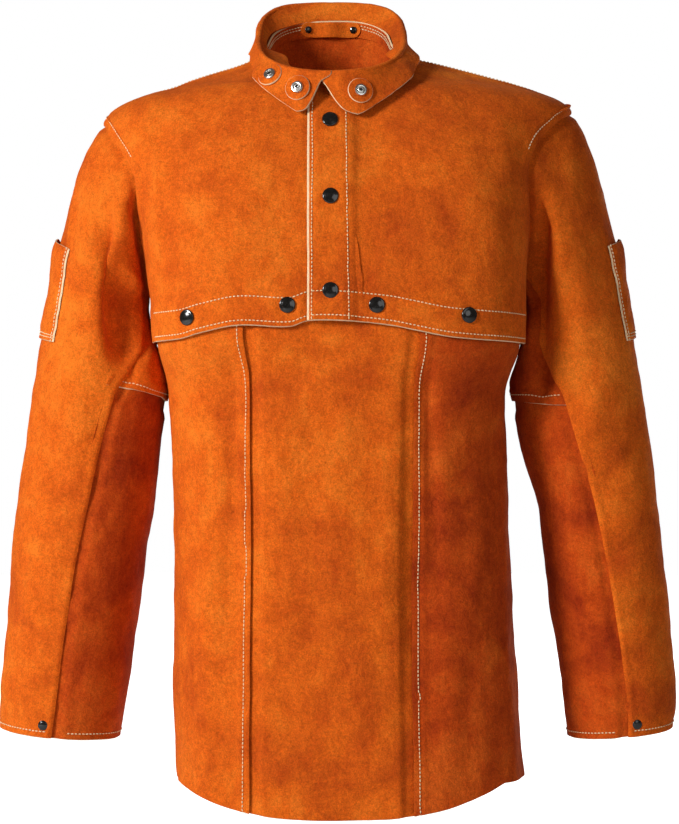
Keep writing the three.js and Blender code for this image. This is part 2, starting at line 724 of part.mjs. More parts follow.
// The strip inside the front hem, on the last rows and the same columns as its panel.
function hemFacing(side) {
  const first = side > 0 ? 3 : 0;
  const rows = frontRows(side).slice(-2);
  const grid = rows.map((row) => row.slice(first, -1));
  return shell(torso, grid, -LAYER, -LAYER - LEATHER);
}

function placketFacing() {
  const rows = frontRows(1).slice(NECK_SHARES.length);
  return shell(torso, rows.map((row) => row.slice(0, 3)), LAYER, GAP);
}

// Bib

function bibHeight(at, angle) {
  const z = -BIB_TOP_DROP - at * BIB_LENGTH;
  const across = Math.min(Math.abs(bib.point(angle, z).x) / BIB_HALF_WIDTH, 1);
  const wrapped = Math.abs(angle) > 1.2 ? 1 : across;
  return z + BIB_HEM_RISE * at * at * wrapped ** 2.6;
}

function bibPanel(fromAt, toAt, shares) {
  const grid = evenShares(12).map((at) => {
    const z = -BIB_TOP_DROP - at * BIB_LENGTH;
    return shares.map((share) => {
      const angle = mix(fromAt(z), toAt(z), share);
      return [angle, bibHeight(at, angle)];
    });
  });
  const outer = -2 * LAYER - BIB_SLACK;
  return shell(bib, grid, outer, outer - LEATHER);
}

// Collar: b runs from the foot of the stand (0) up over the fold and down to the leaf's edge (1).

const STAND_END = 0.3;
const FOLD_END = 0.42;

function rimPoint(turn) {
  const depth = Math.cos(turn) > 0 ? RIM_FRONT : RIM_BACK;
  const squareness = Math.cos(turn) > 0 ? COLLAR_SQUARENESS : COLLAR_BACK_SQUARENESS;
  const radius = outlineRadius(turn, RIM_HALF_WIDTH, depth, squareness);
  const y = -radius * Math.cos(turn);
  const tilt = y < 0 ? RIM_TILT_FRONT : RIM_TILT_BACK;
  return new THREE.Vector3(COLLAR_CENTRE + radius * Math.sin(turn), y, RIM_LEVEL + tilt * y);
}

// The leaf's edge stands off the yoke all the way round.
function leafPoint(turn) {
  const z = LEAF_DROP * reading(LEAF_EDGE, "height", Math.abs(signedTurn(turn)));
  const angle = angleFromNeck(turn, z);
  return torso.point(angle, z).addScaledVector(normalOn(torso, angle, z), LEAF_STANDOFF);
}

const collarRings = new Map();

// The stand's foot, the fold's centre and the leaf's edge in one direction.
function collarRing(angle) {
  const key = angle.toFixed(6);
  if (!collarRings.has(key)) {
    const seam = neckHeightAt(angle) + 9 * SEAM_GAP;
    const foot = torso.point(angleFromNeck(angle, seam), seam);
    const flare = reading(LEAF_EDGE, "flare", Math.abs(signedTurn(angle)));
    collarRings.set(key, { foot, rim: rimPoint(angle), leaf: leafPoint(angle), flare });
  }
  return collarRings.get(key);
}

const collarSurface = {
  point(angle, b) {
    const { foot, rim, leaf, flare } = collarRing(angle);
    const outward = new THREE.Vector3(Math.sin(angle), -Math.cos(angle), 0);
    const centre = rim.clone();
    centre.z -= FOLD_RADIUS;
    const inside = centre.clone().addScaledVector(outward, -FOLD_RADIUS);
    const outside = centre.clone().addScaledVector(outward, FOLD_RADIUS);
    if (b < STAND_END) return foot.clone().lerp(inside, b / STAND_END);
    if (b < FOLD_END) {
      const turn = Math.PI * (1 - (b - STAND_END) / (FOLD_END - STAND_END));
      centre.addScaledVector(outward, FOLD_RADIUS * Math.cos(turn));
      centre.z += FOLD_RADIUS * Math.sin(turn);
      return centre;
    }
    const down = (b - FOLD_END) / (1 - FOLD_END);
    const bend = outside.clone().lerp(leaf, flare);
    bend.z = mix(outside.z, leaf.z, 0.5);
    return outside
      .multiplyScalar((1 - down) ** 2)
      .addScaledVector(bend, 2 * down * (1 - down))
      .addScaledVector(leaf, down * down);
  },
  stepA: 0.02,
  stepB: 0.005,
  outward: -1,
};

// Where the collar ends in front: turn from the front for each place along its width.
const COLLAR_ENDS = [
  { at: 0, left: -0.02, right: 0.03 },
  { at: 0.42, left: -0.02, right: 0.03 },
  { at: 0.6, left: -0.1, right: 0.06 },
  { at: 0.8, left: -0.15, right: 0.1 },
  { at: 0.93, left: -0.2, right: 0.17 },
  { at: 1, left: -0.3, right: 0.26 },
];

function collarPanel() {
  const alongWidth = [0, STAND_END, 0.36, FOLD_END, 0.57, 0.72, 0.87, 1];
  const grid = alongWidth.map((b) => {
    const from = reading(COLLAR_ENDS, "right", b);
    const to = 2 * Math.PI + reading(COLLAR_ENDS, "left", b);
    return evenShares(24).map((share) => [mix(from, to, share), b]);
  });
  return shell(collarSurface, grid, 0, -LEATHER);
}

// Sleeves

const UNDERARM_SEAM = 1;
const SEAM_QUARTER = (1.6 * SEAM_GAP) / SLEEVE_HALF_WIDTH / Math.PI;

function sleeveStart(quarter) {
  const out = reading(SLEEVE_HEAD, "out", quarter);
  const fall = reading(SLEEVE_HEAD, "fall", quarter);
  return (SEAM_GAP * 2.4) / (ARMHOLE_HEIGHT * Math.hypot(out, fall));
}

function sleevePanel(surface, side, shares, columns, edges) {
  const grid = shares.map((v) => {
    const front = reading(SLEEVE_SEAM, "front", v);
    const [from, to] = edges(front);
    return evenShares(columns).map((share) => {
      const quarter = mix(from, to, share);
      return [quarter, v === 0 ? sleeveStart(((quarter % 4) + 4) % 4) : v];
    });
  });
  return shell(surface, grid, 0, -LEATHER);
}

const sleeves = [
  { name: "left", side: -1 },
  { name: "right", side: 1 },
];

const TOP_ROWS = [0, 0.08, 0.2, 0.34, 0.5, 0.66, 0.83, 1, 1.2, 1.4, 1.6, 1.8, 2];
const GUSSET_ROWS = [0, 0.08, 0.2, 0.34, 0.5, 0.66, 0.83, UNDERARM_SEAM];
const UNDER_ROWS = [UNDERARM_SEAM + 0.002, 1.2, 1.4, 1.6, 1.8, 2];

for (const { name, side } of sleeves) {
  const surface = sleeveSurface(side);
  const topEdges = (front) => [-front + SEAM_QUARTER, front - SEAM_QUARTER];
  const underEdges = (front) => [front + SEAM_QUARTER, 4 - front - SEAM_QUARTER];
  const cuffSnap = {
    matrix: frameOn(surface, 0.88, 1.965),
    radius: SNAP_POST_RADIUS,
  };
  const top = sleevePanel(surface, side, TOP_ROWS, 12, topEdges);
  add("sleeve_top_" + name, pierce(top, [cuffSnap]), splitLeather());
  add("sleeve_gusset_" + name, sleevePanel(surface, side, GUSSET_ROWS, 7, underEdges), splitLeather());
  add("sleeve_under_" + name, sleevePanel(surface, side, UNDER_ROWS, 7, underEdges), splitLeather());
  const snap = snapGeometry(CUFF_SNAP_RADIUS, 2.2, SNAP_POST_RADIUS, 3.2, 0, -LEATHER - GAP, 2.4 * HARDWARE_GAP);
  snap.applyMatrix4(cuffSnap.matrix);
  add("cuff_snap_" + name, snap, blackEnamel());
}

// A frame of layers for each snap

function snapPlace(name, across, z) {
  const x = across * CHEST_HALF_WIDTH;
  const matrix = frameOn(torso, torsoAngleAtX(x, z), z);
  return { name, x, matrix, radius: SNAP_POST_RADIUS };
}

const yokeSnaps = PLACKET_SNAPS.map(({ name, across, down }) => snapPlace(name, across, -down * YOKE_DROP));
const bibSnaps = BIB_SNAPS.map(({ name, across, up }) => snapPlace(name, across, up * FACING_HEIGHT - YOKE_DROP));
const onLeft = bibSnaps.filter((snap) => snap.x < 0);
const onRight = bibSnaps.filter((snap) => snap.x > 0);

for (const [k, snap] of yokeSnaps.entries()) {
  const behind = k === yokeSnaps.length - 1 ? -LAYER - LEATHER : -LEATHER;
  const front = 2 * LAYER;
  const geometry = snapGeometry(
    SNAP_RADIUS,
    SNAP_HEIGHT,
    SNAP_POST_RADIUS,
    SNAP_PLATE_RADIUS,
    front,
    behind,
  );
  geometry.applyMatrix4(snap.matrix);
  add(snap.name, geometry, blackEnamel());
}
for (const snap of bibSnaps) {
  const geometry = snapGeometry(
    SNAP_RADIUS,
    SNAP_HEIGHT,
    SNAP_POST_RADIUS,
    SNAP_PLATE_RADIUS,
    0,
    -2 * LAYER - BIB_SLACK - LEATHER - GAP,
    1.8 * HARDWARE_GAP,
  );
  geometry.applyMatrix4(snap.matrix);
  add(snap.name, geometry, blackEnamel());
}

add("yoke_front_left", pierce(frontPanel(-1), [...yokeSnaps, ...onLeft]), splitLeather());
add("yoke_front_right", pierce(frontPanel(1), [...yokeSnaps, ...onRight]), splitLeather());
add("placket_facing", pierce(placketFacing(), yokeSnaps), splitLeather());
add("hem_facing_left", pierce(hemFacing(-1), [...onLeft, yokeSnaps[2]]), splitLeather());
add("hem_facing_right", pierce(hemFacing(1), onRight), splitLeather());

const seamAngle = (x, gap) => (z) => bibAngleAtX(x, z) + gap / BIB_FRONT;
const sideShares = [0, 0.14, 0.26, 0.37, 0.48, 0.65, 0.82, 1];
const leftEdge = seamAngle(BIB_SEAM_LEFT, -SEAM_GAP / 2);
const rightEdge = seamAngle(BIB_SEAM_RIGHT, SEAM_GAP / 2);
const centrePanel = bibPanel(
  seamAngle(BIB_SEAM_LEFT, SEAM_GAP / 2),
  seamAngle(BIB_SEAM_RIGHT, -SEAM_GAP / 2),
  evenShares(6),
);
const leftPanel = bibPanel(leftEdge, () => -BIB_WRAP, sideShares);
const rightPanel = bibPanel(rightEdge, () => BIB_WRAP, sideShares);
add("bib_centre", pierce(centrePanel, [bibSnaps[1], bibSnaps[2]]), splitLeather());
add("bib_side_left", pierce(leftPanel, [bibSnaps[0]]), splitLeather());
add("bib_side_right", pierce(rightPanel, [bibSnaps[3]]), splitLeather());

// Collar with its washers and studs

const studs = COLLAR_STUDS.map(({ number, turn, down }) => {
  const b = mix(FOLD_END, 1, down);
  return { number, matrix: frameOn(collarSurface, turn, b), radius: SNAP_POST_RADIUS };
});
add("collar", pierce(collarPanel(), studs), splitLeather());
const washerBase = 3 * HARDWARE_GAP;
for (const stud of studs) {
  const outline = [
    [SNAP_POST_RADIUS + GAP, washerBase],
    [WASHER_RADIUS, washerBase],
    [WASHER_RADIUS, washerBase + LEATHER],
    [SNAP_POST_RADIUS + GAP, washerBase + LEATHER],
    [SNAP_POST_RADIUS + GAP, washerBase],
  ];
  const washer = new THREE.LatheGeometry(
    outline.map(([r, y]) => new THREE.Vector2(r, y)),
    WASHER_SIDES,
  );
  washer.applyMatrix4(stud.matrix);
  add("collar_washer_" + stud.number, washer, splitLeather());
  const metal = snapGeometry(STUD_RADIUS, STUD_HEIGHT, SNAP_POST_RADIUS, 4, washerBase + LEATHER, -LEATHER, 3.5 * HARDWARE_GAP);
  metal.applyMatrix4(stud.matrix);
  add("collar_stud_" + stud.number, metal, brightSteel());
}

// Back panel with the hanger loop and its rivets

const hanger = {
  point(x, z) {
    const across = (x - HANGER_CENTRE) / (HANGER_SPAN / 2);
    const bow = HANGER_BOW * ease((0.72 - Math.abs(across)) / 0.72);
    const size = torsoSize(z, x > 0, false);
    const wall = size.depth * (1 - (Math.abs(x) / size.halfWidth) ** size.squareness) ** (1 / size.squareness);
    return new THREE.Vector3(x, wall - LEATHER - HANGER_GAP - bow, z);
  },
  stepA: 0.5,
  stepB: 0.5,
  outward: 1,
};

function hangerStrip() {
  const halfLength = HANGER_SPAN / 2 + HANGER_WIDTH / 2;
  const grid = [-1, -0.92, -0.76, -0.55, -0.3, 0, 0.3, 0.55, 0.76, 0.92, 1].map((share) => {
    const fromEnd = (1 - Math.abs(share)) * halfLength;
    const round = Math.min(fromEnd / (HANGER_WIDTH / 2), 1);
    const half = (HANGER_WIDTH / 2) * Math.max(Math.sqrt(1 - (1 - round) ** 2), 0.35);
    const x = HANGER_CENTRE + share * halfLength;
    return [-1, 0, 1].map((up) => [x, HANGER_LEVEL + up * half]);
  });
  return shell(hanger, grid, 0, LEATHER);
}

const rivets = ["left", "right"].map((name, k) => {
  const x = HANGER_CENTRE + (k ? 0.5 : -0.5) * HANGER_SPAN;
  return { name, matrix: frameOn(hanger, x, HANGER_LEVEL), radius: 1.2 };
});
add("yoke_back", pierce(backPanel(), rivets), splitLeather());
add("hanger_loop", pierce(hangerStrip(), rivets), splitLeather());
for (const rivet of rivets) {
  const geometry = snapGeometry(RIVET_RADIUS, RIVET_HEIGHT, 1.2, 2.6, LEATHER, -HANGER_GAP - LEATHER - GAP);
  geometry.applyMatrix4(rivet.matrix);
  add("hanger_rivet_" + rivet.name, geometry, blackEnamel());
}

// Sleeve pockets, sewn over the outer side and open at their tops

for (const { name, side } of sleeves) {
  const surface = sleeveSurface(side);
  const headShare = (drop) => {
    let low = 0;
    let high = 1.2;
    for (let step = 0; step < 30; step += 1) {
      const v = (low + high) / 2;
      if (-surface.point(0, v).z < drop) low = v;
      else high = v;
    }
    return low;
  };
  const quarterOf = (turn) => turn / (Math.PI / 2);
  const grid = evenShares(5).map((down) => {
    const v = headShare(POCKET_TOP_DROP + down * POCKET_LENGTH);
    return evenShares(7).map((share) => [
      mix(-quarterOf(POCKET_BACK_TURN), quarterOf(POCKET_FRONT_TURN), share),
      v,
    ]);
  });
  add("sleeve_pocket_" + name, shell(surface, grid, LAYER + GAP, GAP + GAP), splitLeather());
}

export default cape;
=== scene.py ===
"""Looks of the welding cape with bib: napped split-leather panels with their laps, stitches, snaps and studs.

Lengths are millimetres until a mesh is made, in the frame of the solids: front towards -Y, +Z up.
Every panel is a grid of places on a surface, raised where it laps another and pressed where it is sewn.
"""

import math
from collections import namedtuple

import bpy
import numpy as np
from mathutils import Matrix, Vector, noise
from mathutils.bvhtree import BVHTree


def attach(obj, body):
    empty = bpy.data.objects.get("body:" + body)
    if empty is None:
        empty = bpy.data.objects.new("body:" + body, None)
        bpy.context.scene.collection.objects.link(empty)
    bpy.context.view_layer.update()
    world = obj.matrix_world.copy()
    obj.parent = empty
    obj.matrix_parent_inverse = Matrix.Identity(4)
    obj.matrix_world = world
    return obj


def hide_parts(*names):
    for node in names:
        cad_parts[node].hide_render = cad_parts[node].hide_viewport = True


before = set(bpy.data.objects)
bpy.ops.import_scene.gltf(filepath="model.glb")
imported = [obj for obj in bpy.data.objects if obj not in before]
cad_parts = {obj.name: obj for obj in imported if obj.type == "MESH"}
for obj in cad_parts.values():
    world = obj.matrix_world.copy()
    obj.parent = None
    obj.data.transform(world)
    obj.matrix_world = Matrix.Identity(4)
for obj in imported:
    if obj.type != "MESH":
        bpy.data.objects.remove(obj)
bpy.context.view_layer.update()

MILLIMETRE = 0.001

# Leather and clearances
LEATHER = 1.5
LAYER = 1.8
BIB_SLACK = 1.2

# Torso of the cape
YOKE_DROP = 282
CHEST_HALF_WIDTH = 190
CHEST_FRONT = 136
CHEST_BACK = 126
HEM_RISE = 18
SIDE_TUCK = 10
FACING_HEIGHT = 30

# Neck seam, a tilted ring
NECK_LEVEL = 16
NECK_TILT_FRONT = 0.585
NECK_TILT_BACK = 0.53

# Armholes and sleeves
ARMHOLE_TOP = {1: 50, -1: 61}
ARMHOLE_FOOT = 235
ARMHOLE_HALF_DEPTH = 72
HEAD_REACH = 183
SLEEVE_HEAD_DROP = 335
SLEEVE_LENGTH = 333
ARM_SPREAD = 280
SLEEVE_HALF_WIDTH = 66
SLEEVE_HALF_DEPTH = 62
CUFF_SLANT = 5
POCKET_TOP_DROP = 178
POCKET_LENGTH = 97
POCKET_FRONT_TURN = {1: 0.6, -1: 0.76}
POCKET_BACK_TURN = 0.95

# Front opening
FRONT_EDGE_LEFT = -27
FRONT_EDGE_RIGHT = 9
UNDERLAP_EDGE = 14
OVERLAP_FADE = 13

# Bib
BIB_TOP_DROP = 243
BIB_LENGTH = 492
BIB_HALF_WIDTH = 165
BIB_FRONT = 130
BIB_HEM_RISE = 30
BIB_SETTLES = 52
BIB_SEAM_LEFT = -86
BIB_SEAM_RIGHT = 74
BIB_WRAP = 1.72
BIB_OFFSET = -2 * LAYER - BIB_SLACK

# Collar
COLLAR_CENTRE = -7
RIM_HALF_WIDTH = 72.5
RIM_FRONT = 102
RIM_BACK = 82
RIM_LEVEL = 27
RIM_TILT_FRONT = 0.5
RIM_TILT_BACK = 0.585
LEAF_DROP = 71
LEAF_STANDOFF = 7.5
RIGHT_LEAF_LIFT = 3.5
FOLD_RADIUS = 3.6
COLLAR_SQUARENESS = 2.4
COLLAR_BACK_SQUARENESS = 3.2
STAND_END = 0.3
STAND_RISE = 4.5
FOLD_END = 0.42

# Snaps, studs and rivets: radius, height of the cap and reach behind the leather, or radius and height
SNAP_RADIUS = 7.7
SNAP_HEIGHT = 3.2
PLACKET_SNAP = (SNAP_RADIUS, SNAP_HEIGHT, 6.5)
BIB_SNAP = (SNAP_RADIUS, SNAP_HEIGHT, 7.0)
CUFF_SNAP_RADIUS = 5
CUFF_SNAP = (CUFF_SNAP_RADIUS, 2.4, 3.0)
RIVET = (3.6, 1.7, 5.0)
STUD = (6, 2.4)
WASHER_RADIUS = 12.3
WASHER_HOLE = 2.2

# Domes and rims, from the leather to the top: shares of the radius and of the height
CAP_ROWS = [
    (0.9, 0), (0.985, 0.12), (1, 0.3), (0.975, 0.48), (0.92, 0.6), (0.86, 0.64),
    (0.8, 0.66), (0.66, 0.8), (0.45, 0.92), (0.22, 0.985), (0.05, 1),
]
STUD_ROWS = [
    (0.95, 0.1), (1, 0.4), (0.93, 0.75), (0.78, 0.92), (0.62, 0.85),
    (0.54, 0.6), (0.46, 0.72), (0.4, 0.98), (0.3, 1), (0.24, 0.85),
]

# Their places: x and z on the torso, and quarter turns and reach down the sleeve for the cuff's snaps
PLACKET_SNAPS = {"top": (-7.5, -73), "middle": (-7, -147), "bottom": (-7, -236)}
BIB_SNAPS = {1: (-143, -260.5), 2: (-47.5, -249.5), 3: (36.5, -249.5), 4: (123.5, -258.5)}
CUFF_SNAP_PLACE = (0.88, 1.965)

# Hanging strap
HANGER_SPAN = 47
HANGER_CENTRE = -7.5
HANGER_LEVEL = 44
HANGER_WIDTH = 15
HANGER_GAP = 3.2
HANGER_BOW = 4.5

# Sewing
STITCH_PITCH = 3.7
STITCH_LENGTH = 2.9
THREAD_RADIUS = 0.58
THREAD_HEIGHT = 0.3
LAP_WIDTH = 9
LAP_LIFT = 1.0
UNDER_DROP = 2.3
UNDERLAP = 9
EDGE_SLANT = 1.8

# Places on the panels towards which rows of thread are moved in: x and z on the chest, x on the bib's sides
CHEST_PLACE = (95, -130)
BIB_SIDE_PLACE = 130

# How far in the rows of thread lie; on the sleeve, as a share of its reach
ARMHOLE_STITCH = 8
SHOULDER_STITCH = 3
HEM_STITCH = 4
BAND_STITCH = 27
BIB_STITCH = 6
POCKET_STITCHES = (3.0, 6.5)
CUFF_STITCH = 0.017
UNDERARM_STITCH = 0.034

# The armhole's rows of thread run this far from the shoulder, in quarter turns, where the yoke folds back
STITCHED_QUARTERS = 0.8

# Neck binding inside the back of the neck: the turn where it starts, and its reach from the seam
BINDING_START = 1.25
BINDING_BELOW = 18
BINDING_ABOVE = -2.8

# Where the underarm's lap ends down the sleeve, and how much higher it starts at the front seam
UNDERARM_LAP = 1.012
UNDERARM_SLANT = {-1: 0.07, 1: -0.012}

# Places at which lines and grids are worked out, in quarter turns, reach down the sleeve or turns
ARMHOLE_QUARTERS = np.linspace(0, 2, 60)
BACK_QUARTERS = np.linspace(2.06, 3.94, 60)
HEAD_ROWS = np.concatenate([np.linspace(0, 1, 80)[:-1], np.linspace(1, 2, 90)])
RING_TURNS = np.linspace(-1.2 * math.pi, 2.2 * math.pi, 620)

# Which finish a face of a panel has; the third is the darker copy of the suede, which paints shade
BODY_FACE, CUT_FACE, PAINTED_SHADE_FACE = 0, 1, 2

# Tones, from dark to light
SUEDE_TONES = ((0.42, 0.052, 0.004, 1), (0.63, 0.108, 0.006, 1), (0.78, 0.185, 0.014, 1))
# A darker, redder copy of the suede's tones: painted shade for the insides, the right side of the bib, the
# right gusset and the lower sleeves
SHADED_SUEDE_TONES = ((0.26, 0.022, 0.003, 1), (0.46, 0.056, 0.004, 1), (0.62, 0.11, 0.009, 1))
SHEEN_TONE = (1.0, 0.36, 0.1, 1)
EDGE_TONES = ((0.62, 0.36, 0.16, 1), (0.9, 0.74, 0.5, 1))
THREAD_TONES = ((0.66, 0.45, 0.2, 1), (0.93, 0.8, 0.55, 1))
ENAMEL_TONES = ((0.004, 0.0037, 0.0034, 1), (0.012, 0.011, 0.01, 1))
BRIGHT_TONES = ((0.62, 0.61, 0.58, 1), (0.8, 0.79, 0.76, 1))
DARK_TONES = ((0.03, 0.028, 0.026, 1), (0.08, 0.075, 0.07, 1))
WHITE = (1, 1, 1, 1)
WARM_AIR = (1, 0.84, 0.74, 1)
AIR_STRENGTH = 0.13
FLOOR_TONE = (0.9, 0.9, 0.9, 1)

# Camera, lights and floor, in metres: name, place, size and power of each light
CAMERA_PLACE = (0.0015, -2.2, -0.35)
CAMERA_LENS = 96.12
LIGHT_TARGET = (0, 0, -0.35)
LIGHTS = [
    ("key", (-2.3, -1.9, 0.75), 0.9, 100),
    ("fill", (1.2, -2.6, 0.4), 1.6, 10),
    ("back", (1.6, 3.0, 0.3), 1.8, 34),
]
FLOOR_LEVEL = -0.95
FLOOR_RADIUS = 6

# Where the collar's flaps end in front: turn from the front, for each place along the collar's width.
FLAP_ENDS = {
    "at": [0, 0.42, 0.52, 0.6, 0.75, 0.85, 0.93, 1],
    "left": [0.0, 0.0, -0.09, -0.12, -0.165, -0.2, -0.235, -0.31],
    "right": [-0.08, -0.08, -0.07, -0.03, 0.03, 0.08, 0.14, 0.25],
}

# Soft folds, seen from the front: from x, z to x, z, half width and height
YOKE_FOLDS = [
    (-158, 15, -182, -150, 9, -1.6),
    (-176, -95, -172, -190, 6, 1.3),
    (150, -60, 172, -160, 11, 1.4),
    (96, -50, 150, -210, 26, 1.4),
    (-60, -60, -120, -230, 30, 1.2),
    (30, -60, 60, -190, 16, -0.8),
    (-40, -45, -60, -120, 14, -0.7),
]
BIB_FOLDS = [
    (-96, -300, -108, -560, 9, -2.2),
    (84, -300, 96, -520, 8, -2.2),
    (60, -330, 40, -560, 15, 2.0),
    (-60, -330, -40, -600, 17, 2.0),
    (-138, -320, -128, -700, 10, 1.6),
    (130, -560, 122, -760, 12, -2.0),
    (150, -340, 128, -560, 10, 1.6),
    (0, -640, 20, -800, 20, -1.4),
]
SLEEVE_FOLDS = {
    -1: [
        (-225, -165, -212, -296, 11, -12.0),
        (-243, -90, -252, -230, 14, 2.2),
        (-256, -95, -264, -180, 3, 1.6),
        (-209, -150, -204, -232, 10, 8.0),
        (-207, -212, -199, -236, 4, 3.6),
        (-197, -214, -195, -236, 2.2, -3.0),
        (-190, -285, -186, -330, 13, 3.0),
        (-262, -300, -250, -380, 14, 2.4),
        (-300, -370, -268, -420, 9, -1.8),
        (-300, -470, -240, -500, 8, -1.6),
        (-310, -540, -250, -580, 10, 1.8),
        (-304, -600, -250, -620, 8, -1.4),
    ],
    1: [
        (193, -145, 199, -335, 10, -12.0),
        (212, -190, 214, -330, 9, 3.0),
        (226, -90, 236, -230, 14, 2.2),
        (262, -300, 240, -380, 14, 2.4),
        (296, -380, 262, -420, 9, -1.8),
        (306, -470, 250, -500, 8, -1.6),
        (310, -560, 256, -590, 10, 1.8),
    ],
}

# Torso, for each share of its drop: half widths, depths and squareness of the outline
TORSO_SECTIONS = {
    "at": [
        -0.22, -0.142, -0.057, -0.021, 0.011, 0.064, 0.092, 0.117, 0.149, 0.184,
        0.234, 0.291, 0.358, 0.433, 0.514, 0.638, 0.833, 1, 1.15,
    ],
    "left": [
        0.37, 0.382, 0.389, 0.42, 0.5, 0.737, 0.87, 0.98, 1.102, 1.185,
        1.23, 1.215, 1.168, 1.108, 1.063, 1.026, 0.998, 0.983, 0.97,
    ],
    "right": [
        0.29, 0.297, 0.305, 0.34, 0.515, 0.81, 0.955, 1.06, 1.172, 1.222,
        1.19, 1.125, 1.078, 1.032, 1.004, 0.992, 0.988, 0.982, 0.975,
    ],
    "front": [
        0.41, 0.44, 0.49, 0.52, 0.55, 0.565, 0.58, 0.603, 0.647, 0.691,
        0.743, 0.794, 0.846, 0.89, 0.926, 0.963, 0.993, 1.007, 1.01,
    ],
    "back": [
        0.59, 0.61, 0.65, 0.675, 0.706, 0.754, 0.778, 0.794, 0.825, 0.857,
        0.889, 0.92, 0.944, 0.968, 0.984, 1, 1, 0.992, 0.985,
    ],
    "square_front": [
        2, 2, 1.9, 1.25, 1.15, 1.25, 1.45, 1.85, 2.1, 2.2,
        2.35, 2.6, 2.9, 3.2, 3.4, 3.5, 3.5, 3.4, 3.4,
    ],
    "square_back": [
        2.6, 2.6, 2.4, 2, 1.7, 1.6, 1.7, 1.9, 2.1, 2.2,
        2.3, 2.5, 2.8, 3, 3.1, 3.2, 3.2, 3.2, 3.2,
    ],
}

# Dents are soft hollows, each at a turn and a place down the piece
TORSO_DENTS = {
    "turn": [1.57, -1.57, -0.98, 0.92],
    "at": [0.95, 0.95, 0.47, 0.62],
    "turn_spread": [0.42, 0.42, 0.09, 0.12],
    "at_spread": [0.3, 0.3, 0.2, 0.3],
    "depth": [0.35, 0.6, 0.3, -0.2],
}

# Height of the front hem for each share of the half width
HEM_SHAPE = {
    "at": [-0.95, -0.79, -0.69, -0.5, -0.24, -0.15, 0.04, 0.26, 0.37, 0.57, 0.92],
    "rise": [0, 0.11, 0.39, 0.78, 0.7, 1, 1, 0.78, 0.56, 0.17, -0.05],
}

# Armhole and sleeve, for each quarter turn from the shoulder or the outside, forwards
ARMHOLE = {
    "at": [0, 0.5, 1, 1.5, 2, 2.5, 3, 3.5, 4],
    "drop": [0, 0.1, 0.4, 0.8, 1, 0.8, 0.4, 0.1, 0],
    "forward": [0, 0.61, 1, 0.32, 0, -0.83, -0.97, -0.61, 0],
}
SLEEVE_HEAD = {
    "at": [0, 1, 1.5, 2, 2.5, 3, 4],
    "out": [0.56, 0.5, 0.34, 0.28, 0.34, 0.48, 0.56],
    "fall": [0.63, 0.63, 0.33, 0.22, 0.33, 0.63, 0.63],
    "settle": [1.55, 1.15, 0.71, 0.55, 0.71, 1.15, 1.55],
    "lean": [0.24, 0.16, 0.05, 0.05, 0.05, 0.16, 0.24],
}

# Sleeve, for each share of its length below the head: its centre and half width
SLEEVE_SECTIONS = {
    "at": [0, 0.16, 0.31, 0.46, 0.61, 0.76, 0.91, 1],
    "centre_left": [0.85, 0.877, 0.898, 0.923, 0.941, 0.961, 0.979, 0.991],
    "centre_right": [0.854, 0.887, 0.921, 0.946, 0.968, 0.989, 1.007, 1.007],
    "half_left": [1.015, 1.023, 1.038, 1.023, 0.992, 0.97, 0.939, 0.902],
    "half_right": [0.985, 0.977, 0.917, 0.894, 0.909, 0.864, 0.848, 0.795],
}

# Quarter turn of the sleeve's front seam, for each reach down the sleeve
SLEEVE_SEAM = {
    "at": [0, 0.35, 0.6, 0.85, 1, 1.5, 2],
    "front": [1.7, 1.68, 1.6, 1.36, 1.2, 1.04, 0.98],
}
SLEEVE_DENTS = {
    "turn": [1.3, 1.0, 0.55, 0.6, 2.45],
    "at": [0.62, 1.3, 1.12, 1.62, 0.86],
    "turn_spread": [0.22, 0.3, 0.35, 0.4, 0.4],
    "at_spread": [0.3, 0.12, 0.08, 0.08, 0.14],
    "depth": [0.16, 0.05, 0.04, 0.04, -0.13],
}

# Bib, for each share of its length
BIB_SECTIONS = {
    "at": [0, 0.12, 0.2, 0.32, 0.5, 0.7, 0.85, 1],
    "left": [1.06, 1.05, 1.04, 1.025, 1.015, 1.012, 1.01, 1.0],
    "right": [1.05, 1.03, 1.035, 1.04, 1.06, 1.095, 1.125, 1.16],
    "front": [1.03, 1.0, 0.985, 0.98, 0.985, 1.0, 1.01, 1.02],
    "square": [3.2, 3, 2.9, 2.8, 2.8, 2.9, 3, 3],
}
BIB_DENTS = {
    "turn": [-0.7, 0.56, 0.02, 1.12],
    "at": [0.55, 0.62, 0.5, 0.85],
    "turn_spread": [0.11, 0.1, 0.22, 0.1],
    "at_spread": [0.5, 0.4, 0.45, 0.3],
    "depth": [0.035, 0.04, -0.02, -0.03],
}

# Collar: its leaf's lower edge for each turn from the front, and the places of its studs
LEAF_EDGE = {
    "at": [0, 0.25, 0.45, 0.66, 0.85, 1.1, 1.57, 2.2, 3.15],
    "height": [-1, -0.98, -0.81, -0.6, -0.42, -0.22, 0.02, 0.14, 0.26],
    "flare": [0.6, 0.6, 0.65, 0.65, 0.6, 0.5, 0.4, 0.4, 0.4],
}
COLLAR_STUDS = {
    "turn": [-0.6, -0.3, 0.27],
    "down": [0.4, 0.41, 0.46],
}

# Reading of tables and blends


def ease(share):
    t = np.clip(share, 0, 1)
    return t * t * (3 - 2 * t)


def mix(low, high, share):
    return low + (high - low) * share


